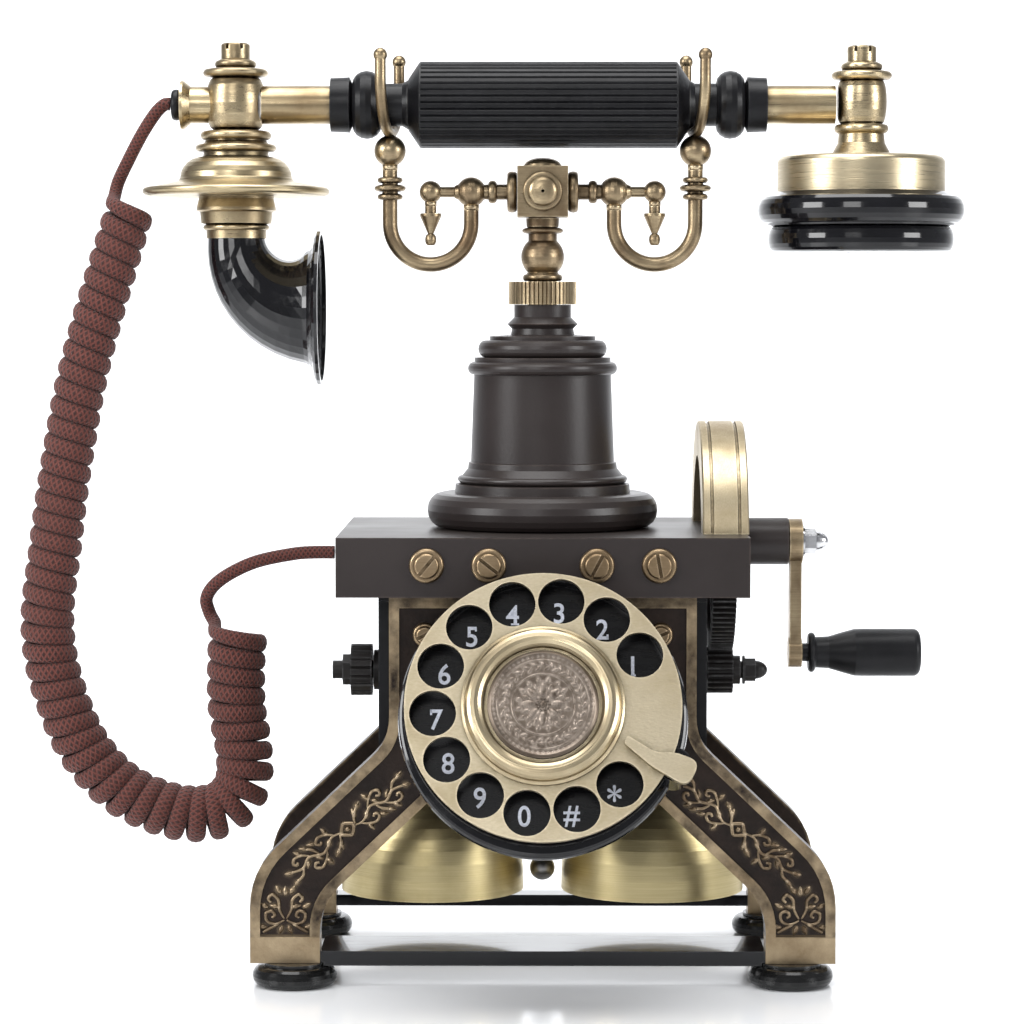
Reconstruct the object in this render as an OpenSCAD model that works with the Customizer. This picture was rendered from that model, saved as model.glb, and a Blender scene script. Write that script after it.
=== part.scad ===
// Table telephone of the skeleton kind: a handset on a hook cradle over a turned
// tower, a flat box on two cast leg frames, a rotary dial, two gongs and a crank.
// X runs along the handset, Y from the dial to the back, Z up. All sizes in mm.

/* [Box] */
// Width of the flat box under the tower
box_w = 138; // [120:1:170]
// Distance from the tower's axis to the box's front face
box_front = 58; // [50:1:75]
// Distance from the tower's axis to the box's back face
box_back = 54; // [50:1:75]
// Height of the flat box
box_h = 20; // [16:1:28]
// Thickness of the box's sheet walls
box_wall = 2.5; // [1.5:0.5:4]
// Height of the box's underside above the table
box_z = 132; // [120:1:160]

/* [Case and legs] */
// Width of the inner case that holds the ringer and the board
case_w = 111; // [100:1:120]
// Depth of the inner case
case_d = 83; // [70:1:90]
// Height of the inner case
case_h = 56; // [48:1:62]
// Thickness of the case walls
case_wall = 2.5; // [1.5:0.5:4]
// Thickness of each cast leg frame, front to back
frame_t = 10; // [7:0.5:14]
// Width of the leg frame's upper plate
plate_w = 103; // [90:1:108]
// Width across the outsides of the feet
leg_span = 197; // [180:1:220]
// Width of one leg
leg_w = 23.5; // [18:0.5:30]
// Depth of the sunk panel in the frame's outer face
panel_depth = 1.2; // [0.6:0.2:2.4]
// Width of the raised border round the sunk panel
panel_border = 3.4; // [2:0.2:6]
// Radius of each foot pad
foot_r = 14.3; // [10:0.1:18]
// Height of each foot pad
foot_h = 8; // [6:0.5:12]
// Depth of the flat rails between the legs
rail_d = 28; // [16:1:36]
// Thickness of the rails
rail_t = 5; // [3:0.5:8]

/* [Tower] */
// Radius of the tower's round base
tower_base_r = 40.2; // [34:0.2:46]
// Radius of the tower's drum
tower_r = 24.4; // [20:0.2:30]
// Radius of the tower's neck
tower_neck_r = 9.9; // [9:0.1:14]
// Height of the tower, from the box's top to the collar
tower_h = 77.5; // [70:0.5:90]
// Radius of the knurled collar
collar_r = 11.8; // [11:0.1:16]
// Height of the knurled collar
collar_h = 8; // [5:0.5:12]

/* [Cradle] */
// Radius of the cradle's sliding rod
rod_r = 5; // [4:0.25:7]
// Travel of the cradle when the handset is lifted
cradle_travel = 5; // [3:0.5:6]
// Width of the cradle's square hub
hub_w = 17.6; // [14:0.2:22]
// Height of the cradle arms above the collar's top
arm_rise = 31; // [29:0.5:40]
// Distance from the tower's axis to each hook's inner leg
hook_in = 24.8; // [22:0.2:30]
// Distance from the end of the grip to the forks
hook_gap = 4.5; // [3:0.1:6]
// Radius of the hooks' bent rod
hook_rod_r = 2.6; // [2:0.1:3.4]
// Distance between a fork's two prongs
fork_w = 36; // [35:1:42]
// Radius of a fork's prongs
prong_r = 1.9; // [1.5:0.1:2.4]

/* [Handset] */
// Height of the handset's axis above the cradle arms
handset_rise = 30.1; // [28:0.1:34]
// Length of the ribbed grip
grip_l = 97; // [90:1:104]
// Radius of the ribbed grip
grip_r = 14.9; // [12:0.1:18]
// Number of ribs round the grip
grip_ribs = 40; // [24:1:60]
// Distance between the mouth joint and the ear joint
joint_span = 217; // [200:1:240]
// Radius of the brass arm tube
arm_r = 6.6; // [5:0.1:8]
// How far the handset lies to the ear side of the tower's axis
handset_shift = 2; // [0:0.5:4]
// Radius of the mouthpiece's guard disc
disc_r = 32.4; // [26:0.2:38]
// Radius of the mouth horn's tube at its upper end
horn_r = 9.9; // [8:0.1:12]
// Radius of the horn's bell
horn_bell_r = 27; // [22:0.5:32]
// Radius of the brass ear cup
cup_r = 29; // [24:0.5:34]
// Radius of the black ear cap
ear_r = 35.8; // [30:0.2:40]
// Height that the handset can be raised before its cord is drawn out
handset_travel = 50; // [20:5:60]

/* [Dial] */
// Tilt of the dial's axis above level
dial_tilt = 22; // [15:1:28]
// Distance from the tower's axis to the finger wheel's centre
dial_front = 90; // [88:1:100]
// Height of the finger wheel's centre
dial_z = 99.3; // [94:0.1:104]
// Radius of the finger wheel
wheel_r = 45; // [40:0.5:47]
// Thickness of the finger wheel
wheel_t = 1.6; // [1.2:0.2:2.4]
// Number of finger holes
hole_count = 12; // [10:1:12]
// Radius of a finger hole
hole_r = 7.6; // [6:0.05:7.8]
// Radius of the circle that the finger holes lie on
hole_ring_r = 35.8; // [34:0.2:37]
// Angle between neighbouring finger holes
hole_step = 25.9; // [25:0.1:30]
// Angle of the first finger hole
hole_start = 28.6; // [20:0.1:40]
// Angle of the finger stop
stop_angle = -24; // [-30:1:-15]
// Radius of the dial housing's rim
rim_r = 47.5; // [46:0.5:50]
// Radius of the raised ring round the medallion
boss_r = 26.5; // [22:0.5:27]
// Radius of the medallion
medal_r = 18; // [14:0.2:20]

/* [Ringer] */
// Radius of each gong
gong_r = 31.9; // [26:0.1:33]
// Height of each gong
gong_h = 37; // [20:1:38]
// Distance from the tower's axis to each gong's centre
gong_x = 38.5; // [36:0.1:42]
// Height of the gongs' rims above the table
gong_z = 25; // [18:1:30]
// Thickness of the gong metal
gong_t = 1.4; // [1:0.1:2.5]
// Radius of the striker's ball
striker_r = 4.4; // [3:0.1:5]

/* [Crank and gears] */
// Height of the crank's axis above the box's underside
crank_rise = 15; // [12:0.5:16]
// Radius of the crank's shaft
shaft_r = 3; // [2:0.25:4]
// Tooth size of both gears, pitch diameter over tooth count
gear_module = 0.75; // [0.6:0.05:1]
// Teeth on the drive gear
gear_teeth = 100; // [80:1:104]
// Teeth on the pinion
pinion_teeth = 20; // [16:1:24]
// Width of the drive gear's rim
gear_w = 8; // [6:0.5:9]
// Radius of the brass arch over the drive gear
guard_r = 42; // [41:0.5:48]
// Throw of the crank, from its axis to the handle's
crank_throw = 39; // [30:1:50]
// Radius of the black bearing boss beside the box
boss_bearing_r = 8.2; // [7:0.1:10]
// Length of the crank handle
handle_l = 41; // [30:1:50]
// Radius of the crank handle at its thick end
handle_r = 8.3; // [6:0.1:10]

/* [Cord] */
// Diameter of the braided cord
cord_d = 4.6; // [4:0.1:5.4]
// Outside diameter of the curled part of the cord
coil_d = 17.5; // [16:0.5:22]
// Outside diameter of the coil at the box end
coil_end_d = 21; // [16:0.5:24]

/* [Fits] */
// Gap between parts that move past each other
gap = 0.4; // [0.3:0.1:0.8]
// Radial play of a shaft that turns or slides in its bore
play = 0.06; // [0.02:0.01:0.1]
// Gap between fixed parts that fit into each other
fit_gap = 0.1; // [0.05:0.05:0.3]

/* [Hidden] */

box_top = box_z + box_h;
case_z = box_z - case_h;
neck_top = box_top + tower_h;
arm_z = neck_top + collar_h + arm_rise;
hook_out = grip_l / 2 + hook_gap;
handset_z = arm_z + handset_rise;
crank_z = box_z + crank_rise;
gear_r = gear_module * gear_teeth / 2;
pinion_r = gear_module * pinion_teeth / 2;
mesh_slack = 0.15;
pinion_z = crank_z - gear_r - pinion_r - mesh_slack;
gear_x = box_w / 2 - 7;
foot_x = leg_span / 2 - leg_w / 2 - 3;
frame_y = box_front - 6 - frame_t / 2;
mouth_x = handset_shift - joint_span / 2;
ear_x = handset_shift + joint_span / 2;
stub_l = 19;
// The origin is the middle of the underside of the whole telephone's box.
centre_x = (ear_x + ear_r + mouth_x - disc_r) / 2;
front_reach = dial_front + wheel_r * sin(dial_tilt) + wheel_t * cos(dial_tilt);
centre_y = (frame_y + foot_r - front_reach) / 2;

black = [0.05, 0.05, 0.055];
bronze = [0.2, 0.18, 0.17];
brass = [0.62, 0.52, 0.33];
steel = [0.7, 0.7, 0.7];
cord_brown = [0.3, 0.12, 0.08];

// ---- Helpers ----

// Moves a piece drawn round the tower's axis into the part's own frame.
module placed() { translate([-centre_x, -centre_y, 0]) children(); }

// Draws its child and the child's mirror image on the other side of the tower.
module both_sides() { children(); mirror([1, 0, 0]) children(); }

// Turns an outline of [radius, height] points about Z.
module turned(outline) { rotate_extrude($fn = 96) polygon(outline); }

// Points that bulge outwards by depth from radius r, between heights z0 and z1.
function bulge(r, depth, z0, z1, n = 8) =
    [for (i = [0:n]) [r + depth * sin(180 * i / n), (z0 + z1) / 2 - (z1 - z0) / 2 * cos(180 * i / n)]];

// Points of a quarter arc with a rounded outer edge, from radius r inwards by e.
function dome(r, z0, z1, e, n = 6) =
    [for (i = [0:n]) [r - e + e * cos(90 * i / n), z0 + (z1 - z0) * sin(90 * i / n)]];

// A solid ball.
module ball(r) { sphere(r = r, $fn = 48); }

// A cylinder along X from x0 to x1.
module rod_x(r, x0, x1, sides = 64) {
    translate([x0, 0, 0]) rotate([0, 90, 0]) cylinder(r = r, h = x1 - x0, $fn = sides);
}

// A cylinder along Y from y0 to y1.
module rod_y(r, y0, y1, sides = 64) {
    translate([0, y1, 0]) rotate([90, 0, 0]) cylinder(r = r, h = y1 - y0, $fn = sides);
}

// A square-cornered block from one corner to the other.
module block(low, high) { translate(low) cube(high - low); }

// A cap nut of six sides with a domed end, standing along +X.
module cap_nut(r, h) {
    rotate([0, 90, 0]) {
        cylinder(r = r * 1.25, h = 0.8, $fn = 48);
        translate([0, 0, 0.8]) cylinder(r = r, h = h * 0.45, $fn = 6);
        translate([0, 0, 0.8 + h * 0.45])
            turned(concat([[0, 0]], dome(r * 0.8, 0, h * 0.5, r * 0.8)));
    }
}

// A point on the curve from p to r that bends towards q.
function smooth(p, q, r, t) = (1 - t) * (1 - t) * p + 2 * t * (1 - t) * q + t * t * r;
// An outline whose [x, z, reach] corners are rounded over their reach.
function eased(pts, n = 6) = [for (i = [0:len(pts) - 1])
    let (p = pts[i], a = [p.x, p.y],
         before = [pts[(i + len(pts) - 1) % len(pts)].x, pts[(i + len(pts) - 1) % len(pts)].y],
         after = [pts[(i + 1) % len(pts)].x, pts[(i + 1) % len(pts)].y],
         from = a + (before - a) / norm(before - a) * p.z,
         to = a + (after - a) / norm(after - a) * p.z)
    each (p.z == 0 ? [a] : [for (k = [0:n]) smooth(from, a, to, k / n)])];

// ---- Legs, rails and feet ----

leg_slope = 0.95;
// Height of the leg's sloping outer edge at distance x from the middle.
function leg_edge(x) = case_z + 7.5 - leg_slope * (x - plate_w / 2);
// Outline of a leg frame drawn in by d on every side.
function leg_outline(d, z_low, z_high) =
    let (shift = d * sqrt(1 + leg_slope * leg_slope),
         outer = leg_span / 2 - d, inner = leg_span / 2 - leg_w + d, top = plate_w / 2 - d,
         in_x = plate_w / 2 - 25 + d * 0.4, in_z = case_z - 2 + d,
         low_edge = leg_edge(inner - leg_w * 0.6) - leg_w * 0.98 + shift,
         half = [[inner, z_low, 0], [outer, z_low, 0], [outer, leg_edge(outer) - shift, 12],
                 [top, leg_edge(top) - shift, 8], [top, z_high, 0]],
         arch = [[in_x, in_z, 9], [inner, in_z - (inner - in_x) * leg_slope, 10]])
    eased(concat(half, [for (i = [4:-1:0]) [-half[i].x, half[i].y, half[i].z]],
        [for (i = [1:-1:0]) [-arch[i].x, arch[i].y, arch[i].z]], arch));

module leg_frame() {
    difference() {
        rotate([90, 0, 0]) linear_extrude(frame_t, center = true)
            polygon(leg_outline(0, foot_h, box_z - fit_gap));
        translate([0, -frame_t / 2 + panel_depth, 0]) rotate([90, 0, 0])
            linear_extrude(panel_depth + 1)
                polygon(leg_outline(panel_border, foot_h + 9, box_z - 4));
        for (side = [-1, 1]) translate([side * plate_screw_x, 0, plate_screw_z])
            rod_y(plate_screw_r + fit_gap, -frame_t, frame_t);
    }
}
plate_screw_x = plate_w / 2 - 12;
plate_screw_z = box_z - 13;
plate_screw_r = 2;

module front_frame() { color(bronze) placed() translate([0, -frame_y, 0]) leg_frame(); }
module rear_frame() { color(bronze) placed() rotate(180) translate([0, -frame_y, 0]) leg_frame(); }

// The front rail is a wide strip near the table, the rear one a narrow bar between the legs.
module base_rails() {
    reach = leg_span / 2 - leg_w - fit_gap;
    front = frame_y + frame_t / 2 - 1;
    color(black) placed() difference() {
        union() {
            block([-reach, -front, foot_h - 1], [reach, -front + rail_d, foot_h - 1 + rail_t]);
            block([-reach, front - rear_rail_d, foot_h + 3], [reach, front, foot_h + 3 + rear_rail_t]);
        }
        for (x = [-foot_x, foot_x]) translate([x, -frame_y, 0])
            cylinder(r = foot_r - 4 + gap, h = foot_h + fit_gap, $fn = 64);
    }
}
rear_rail_d = 10;
rear_rail_t = 4;

module foot_pads() {
    color(black) placed() for (x = [-foot_x, foot_x], y = [-frame_y, frame_y]) translate([x, y, 0])
        turned(concat([[0, 0], [foot_r - 3, 0]], bulge(foot_r - 3, 3, 0, foot_h - 1.2),
            [[foot_r - 4, foot_h - 1.1], [foot_r - 4, foot_h - fit_gap], [0, foot_h - fit_gap]]));
}

// ---- Case ----

module case_shell() {
    inner = [case_w / 2 - case_wall, case_d / 2 - case_wall];
    color(black) placed() difference() {
        block([-case_w / 2, -case_d / 2, case_z], [case_w / 2, case_d / 2, box_z - case_wall - 2 * fit_gap]);
        block([-inner.x, -inner.y, case_z + case_wall], [inner.x, inner.y, box_z + 1]);
        translate([0, 0, pinion_z]) rod_x(shaft_r + play, -case_w, case_w);
        block([-4, -3, case_z - 1], [4, 3, case_z + case_wall + 1]);
        for (side = [-1, 1]) translate([side * gong_x, 0, case_z - 1]) cylinder(r = post_r + fit_gap,
            h = case_wall + 2, $fn = 48);
    }
}
module case_lid() {
    color(black) placed() block([-case_w / 2, -case_d / 2, box_z - case_wall - fit_gap],
        [case_w / 2, case_d / 2, box_z - fit_gap]);
}
module circuit_board() {
    board_y = case_d / 2 - case_wall - 6;
    color("darkgreen") placed() {
        block([-case_w / 2 + case_wall + fit_gap, board_y, case_z + 6],
            [case_w / 2 - case_wall - fit_gap, board_y + 1.6, box_z - 10]);
        for (x = [-30, -8, 18]) block([x, board_y - 5, case_z + 14], [x + 12, board_y, case_z + 26]);
    }
}

// ---- Box ----

slot_x0 = gear_x - gear_w / 2 - 1;
slot_x1 = gear_x + gear_w / 2 + 1;
slot_half = sqrt((gear_r + 2) * (gear_r + 2) - (box_top - box_wall - crank_z) * (box_top - box_wall - crank_z));
rod_hole_r = rod_r + 1;

module top_box() {
    color(bronze) placed() difference() {
        block([-box_w / 2, -box_front, box_z], [box_w / 2, box_back, box_top]);
        block([-box_w / 2 + box_wall, -box_front + box_wall, box_z - 1],
            [box_w / 2 - box_wall, box_back - box_wall, box_top - box_wall]);
        block([slot_x0, -slot_half, box_top - 5], [slot_x1, slot_half, box_top + 1]);
        translate([0, 0, crank_z]) rod_x(shaft_r + play, box_w / 2 - 6, box_w / 2 + 2);
        translate([0, 0, crank_z]) rod_x(shaft_r + gap, slot_x0 - 8, slot_x0 + 1);
        translate([0, 0, box_top - 5]) cylinder(r = rod_hole_r, h = 7, $fn = 64);
        translate([0, 0, gland_z]) rod_x(gland_r + fit_gap, -box_w / 2 - 1, -box_w / 2 + box_wall + 1);
        for (x = terminal_xs) translate([x, 0, terminal_z]) rod_y(terminal_shank_r + fit_gap,
            -box_front - 1, -box_front + box_wall + 1);
    }
}
module box_floor() {
    inset = box_wall + fit_gap;
    color(bronze) placed() difference() {
        block([-box_w / 2 + inset, -box_front + inset, box_z],
            [box_w / 2 - inset, box_back - inset, box_z + box_wall]);
        block([slot_x0, -slot_half, box_z - 1], [box_w, slot_half, box_z + box_wall + 1]);
    }
}
terminal_xs = [-38.7, -18, 18, 38.7];
terminal_z = box_z + 10.7;
terminal_r = 5.9;
terminal_shank_r = 1.8;
slot_w = 1.1;

// A slotted round screw with its washer, head towards -Y, its seat at y = 0.
module slotted_screw(head_r, shank_r, shank_l, turn) {
    rotate([90, 0, 0]) difference() {
        union() {
            turned(concat([[0, 0]], dome(head_r, 0, 1.6, 1), [[head_r * 0.76, 1.6]],
                dome(head_r * 0.72, 1.6, 2.8, 0.8), [[0, 2.8]]));
            translate([0, 0, -shank_l]) cylinder(r = shank_r, h = shank_l + 0.5, $fn = 48);
        }
        rotate(turn) translate([-head_r * 0.72, -slot_w / 2, 1.7]) cube([head_r * 1.44, slot_w, 3]);
    }
}
module terminal_screws() {
    turns = [50, -38, 62, 100];
    color(brass) placed() for (i = [0:3]) translate([terminal_xs[i], -box_front - fit_gap / 2, terminal_z])
        slotted_screw(terminal_r, terminal_shank_r, box_wall, turns[i]);
}
module plate_screws() {
    color(brass) placed() for (side = [-1, 1], face = [0, 180]) rotate(face)
        translate([side * plate_screw_x, -frame_y - frame_t / 2 + panel_depth - fit_gap / 2, plate_screw_z])
            slotted_screw(4.2, plate_screw_r, frame_t - panel_depth, 25);
}

// ---- Tower ----

tower_bore_r = tower_neck_r + 1.5;
spring_z = box_top + 22 * tower_h / 77.5 + 2 * fit_gap;
module tower() {
    z = box_top + fit_gap;
    s = tower_h / 77.5;
    outside = concat(
        [[0, 0]], bulge(tower_base_r - 5, 5, 0, 12 * s),
            [[30.6 * tower_base_r / 40.2, 12 * s], [30.4 * tower_base_r / 40.2, 15 * s]],
        bulge(28, 1.6, 15.4 * s, 18 * s), [[tower_r + 1.6, 20.5 * s], [tower_r + 1.4, 22.5 * s],
            [tower_r + 0.6, 22.8 * s],
        [tower_r - 0.5, 52 * s], [tower_r - 0.5, 53 * s]], bulge(tower_r - 0.5, 2.1, 53 * s, 57.5 * s),
        [[tower_r - 0.7, 57.6 * s], [tower_r - 0.7, 59 * s]], bulge(tower_r - 4.4, 2.4, 59 * s, 65 * s),
        [[tower_r - 6, 65 * s], [tower_r - 6, 66.4 * s], [tower_neck_r + 1.2, 67 * s],
            [tower_neck_r + 0.8, 69 * s],
        [tower_neck_r + 2.4, 70.6 * s], [tower_neck_r, 73 * s], [tower_neck_r, 77.5 * s - 2 * fit_gap],
            [0, 77.5 * s - 2 * fit_gap]]);
    color(bronze) placed() translate([0, 0, z]) difference() {
        turned(outside);
        translate([0, 0, -1]) cylinder(r = tower_r - 4.5, h = 19 * s + 1, $fn = 96);
        translate([0, 0, 22 * s]) cylinder(r = tower_r - 4.5, h = 37 * s, $fn = 96);
        translate([0, 0, -1]) cylinder(r = rod_r + play, h = tower_h + 4, $fn = 96);
    }
}
module knurled_collar() {
    ridges = 48;
    color(brass) placed() translate([0, 0, neck_top]) difference() {
        cylinder(r = collar_r, h = collar_h - fit_gap, $fn = 96);
        translate([0, 0, -1]) cylinder(r = rod_r + play, h = collar_h + 2, $fn = 96);
        for (i = [0:ridges - 1]) rotate(i * 360 / ridges) translate([collar_r + 0.1, 0, -1]) rotate(45)
            cube([0.7, 0.7, 4 * collar_h], center = true);
    }
}
module hook_switch() {
    color(steel) placed() {
        block([8, -5, box_z + box_wall + fit_gap], [20, 5, box_z + box_wall + 9]);
        block([rod_r + 1.2, -2, box_z + box_wall + 4], [8, 2, box_z + box_wall + 5]);
    }
}

// ---- Cradle ----

flange_z = box_top + 44;
module cradle_post() {
    low = box_top - 8;
    ball_z = arm_z - 12.5;
    color(brass) placed() {
        translate([0, 0, low]) cylinder(r = rod_r, h = arm_z - hub_w / 2 - low, $fn = 64);
        translate([0, 0, flange_z]) cylinder(r = rod_r + 4, h = 2, $fn = 64);
        translate([0, 0, neck_top + collar_h + fit_gap]) turned(concat([[0, 0]], bulge(6, 0.9, 0, 2.4),
            [[5.8, 2.4], [5.2, 3.2]],
            [for (i = [0:10]) let (a = -48 + 96 * i / 10) [7.5 * cos(a), arm_rise - 22.6 + 7.5 * sin(a)]],
            [[4.4, arm_rise - 15.5]], bulge(5, 2.2, arm_rise - 14.6, arm_rise - 12.4),
                [[5.6, arm_rise - 12.2], [5.8, arm_rise - hub_w / 2 - 0.4],
                [0, arm_rise - hub_w / 2 - 0.4]]));
        translate([0, 0, arm_z]) {
            cube(hub_w, center = true);
            translate([0, 0, hub_w / 2]) turned(concat([[0, -0.5]], dome(6.6, 0, 3, 5.6)));
            for (face = [0, 180]) rotate(face) translate([0, -hub_w / 2, 0]) rotate([90, 0, 0])
                turned(concat([[0, -0.5]], bulge(6, 0.7, 0, 1.6), dome(5.2, 1.6, 3.6, 4.6)));
        }
    }
}
module cradle_spring() {
    color(steel) placed() translate([0, 0, spring_z]) difference() {
        cylinder(r = rod_r + 3, h = flange_z - spring_z - fit_gap, $fn = 48);
        translate([0, 0, -1]) cylinder(r = rod_r + 1, h = flange_z, $fn = 48);
    }
}
module cradle_arms() {
    root_x = hub_w / 2 + fit_gap;
    tip_x = (hook_in + hook_out) / 2;
    color(brass) placed() translate([0, 0, arm_z]) both_sides() rotate([0, 90, 0]) {
        turned(concat([[0, root_x]], bulge(6.2, 1, root_x, root_x + 3.4),
            [[2.7, root_x + 3.6], [2.7, root_x + 7]], bulge(2.9, 1.1, root_x + 7, root_x + 10),
            [[2.7, root_x + 10]], [for (i = [0:10]) let (a = -60 + 118 * i / 10) [5.2 * cos(a),
                hook_in + 5.2 * sin(a)]], [[2.2, hook_in + 5.6], [1.8, hook_in + 6], [1.8, tip_x - 3],
            [0, tip_x - 3]]));
        translate([0, 0, tip_x]) ball(3.9);
    }
}
module cradle_drops() {
    x = (hook_in + hook_out) / 2;
    color(brass) placed() both_sides() translate([x, 0, arm_z]) rotate([180, 0, 0])
        turned(concat([[0, 4.1], [2, 4.1], [2, 7.3], [3.7, 7.4], [3.7, 8.4], [1, 14.5]],
            bulge(1, 1, 14.5, 18.5), [[0, 18.5]]));
}
// One bent hook: down from the arm's ball, round, and up to the fork.
module hook() {
    bend_r = (hook_out - hook_in) / 2;
    bend_z = arm_z - 11;
    ring_z = arm_z + 1.3;
    translate([hook_in, 0, bend_z]) cylinder(r = hook_rod_r, h = arm_z - 5.3 - bend_z, $fn = 48);
    translate([(hook_in + hook_out) / 2, 0, bend_z]) rotate([-90, 0, 0])
        rotate_extrude(angle = 180, $fn = 96) translate([bend_r, 0]) circle(hook_rod_r, $fn = 48);
    translate([hook_out, 0, bend_z]) cylinder(r = hook_rod_r,
        h = fork_z - fork_ball_r - fit_gap - bend_z, $fn = 48);
    translate([hook_out, 0, ring_z - 4]) turned(concat([[0, 0]], bulge(3.4, 1, 0, 2),
        [[2.8, 2.2], [2.8, 2.8]], bulge(3.6, 1.9, 2.8, 5.2), [[2.8, 5.2], [2.8, 5.8]],
        bulge(3.4, 1, 5.8, 7.8), [[0, 7.8]]));
}
fork_z = arm_z + 14.2;
fork_ball_r = 5.5;
module cradle_hooks() { color(brass) placed() both_sides() hook(); }
// A fork: a ball with two prongs that curve up round the handset's neck.
module fork() {
    bow_r = fork_w / 2;
    low_z = handset_z - neck_r - gap - prong_r;
    tip_z = handset_z + 16;
    translate([hook_out, 0, fork_z]) ball(fork_ball_r);
    translate([hook_out, 0, 0]) rotate(fork_turn) {
        translate([0, 0, low_z + bow_r]) rotate([90, 0, 90]) rotate(180)
            rotate_extrude(angle = 180, $fn = 96) translate([bow_r, 0]) circle(prong_r, $fn = 32);
        for (side = [-1, 1]) translate([0, side * bow_r, low_z + bow_r]) {
            cylinder(r = prong_r, h = tip_z - low_z - bow_r, $fn = 32);
            translate([0, 0, tip_z - low_z - bow_r]) ball(prong_r + 0.5);
        }
    }
}
fork_turn = 8;
neck_r = 7.4;
module cradle_forks() { color(brass) placed() both_sides() fork(); }

// ---- Handset ----

// Moves a piece drawn round the handset's middle to the handset's place.
module at_handset() { placed() translate([handset_shift, 0, handset_z]) children(); }
grip_end_x = joint_span / 2 - 33;
joint_r = 10.2;

module grip() {
    half = grip_l / 2;
    color(black) at_handset() rotate([0, 90, 0]) difference() {
        turned([[0, -half], [9, -half], [grip_r, -half + 4], [grip_r, half - 4], [9, half], [0, half]]);
        translate([0, 0, -half - 1]) cylinder(r = arm_r + fit_gap, h = grip_l + 2, $fn = 64);
        for (i = [0:grip_ribs - 1]) rotate(i * 360 / grip_ribs)
            translate([grip_r, 0, 0]) rotate(45) cube([0.8, 0.8, grip_l - 9], center = true);
    }
}
module grip_ends() {
    start = grip_l / 2 + fit_gap;
    color(black) at_handset() both_sides() rotate([0, 90, 0]) difference() {
        turned(concat([[0, start], [8.6, start], [neck_r, start + 2], [neck_r, start + 9.4]],
            bulge(neck_r, 4.4, start + 9.4, grip_end_x - 7.5),
                [[9.6, grip_end_x - 6.6], [9.3, grip_end_x], [0, grip_end_x]]));
        cylinder(r = arm_r + fit_gap, h = joint_span, $fn = 64);
    }
}
module arm_tube() {
    reach = joint_span / 2 - joint_r + 1;
    color(brass) at_handset() difference() {
        rod_x(arm_r, -reach, reach);
        rod_x(arm_r - 1.5, -reach - 1, reach + 1);
    }
}
// The joint at an end of the arm: a round body with a bore along X and a bolt bore down Z.
module joint_body(outline, stub) {
    difference() {
        union() {
            turned(outline);
            if (stub > 0) {
                rod_x(6.3, -stub + 2, -joint_r + 4);
                rotate([0, -90, 0]) turned([[0, stub - 2.2], [6.4, stub - 3.4], [8.4, stub - 1],
                    [8.4, stub], [0, stub]]);
            }
        }
        if (stub > 0) rod_x(3, -stub - 1, -joint_r + 6);
        else rod_x(arm_r + fit_gap, -joint_r - 5, -joint_r + 2);
        if (stub > 0) rod_x(arm_r + fit_gap, joint_r - 2, joint_r + 5);
        translate([0, 0, -40]) cylinder(r = bolt_r + fit_gap, h = 80, $fn = 48);
    }
}
bolt_r = 2;
joint_low = -16.2;
module mouth_joint() {
    color(brass) at_handset() translate([-joint_span / 2, 0, 0])
        joint_body(concat([[0, joint_low]], bulge(12.6, 1.4, joint_low, joint_low + 2.6),
            [[11.4, joint_low + 2.7], [10.6, joint_low + 3.8]],
            bulge(10.6, 1.7, joint_low + 4, joint_low + 7.2), [[7.6, joint_low + 7.4]],
                bulge(7.8, 2.6, joint_low + 7.6, 9.4),
            bulge(9.6, 1.7, 9.6, 12.4), [[8, 12.6], [0, 12.6]]), stub_l);
}
module ear_joint() {
    color(brass) at_handset() translate([joint_span / 2, 0, 0])
        joint_body(concat([[0, joint_low - 0.8], [10.2, joint_low - 0.8], [8.2, joint_low + 3],
            [7.9, joint_low + 6]],
            bulge(8.2, 1.2, joint_low + 6.4, joint_low + 9.4), [[7.2, joint_low + 9.5]],
                bulge(7.2, 1.6, joint_low + 9.6, 8.4),
            bulge(8.8, 1.7, 8.5, 11.5), [[7.6, 11.6], [0, 11.6]]), 0);
}
// The slotted cap nut on top of a joint, with the bolt that holds the parts below.
module joint_nut(seat, bolt_l) {
    translate([0, 0, seat + fit_gap]) {
        difference() {
            turned(concat([[0, 0]], bulge(6, 1.2, 0, 2.6),
                [[6, 2.7], [5, 3.2], [5, 8], [4.2, 8.6], [0, 8.6]]));
            for (turn = [0, 60, 120]) rotate(turn) translate([-6, -0.6, 6.4]) cube([12, 1.2, 3]);
        }
        translate([0, 0, -bolt_l]) cylinder(r = bolt_r, h = bolt_l + 1, $fn = 48);
    }
}
module joint_nuts() {
    color(brass) at_handset() {
        translate([-joint_span / 2, 0, 0]) joint_nut(12.6, 36);
        translate([joint_span / 2, 0, 0]) joint_nut(11.6, 33);
    }
}

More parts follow.
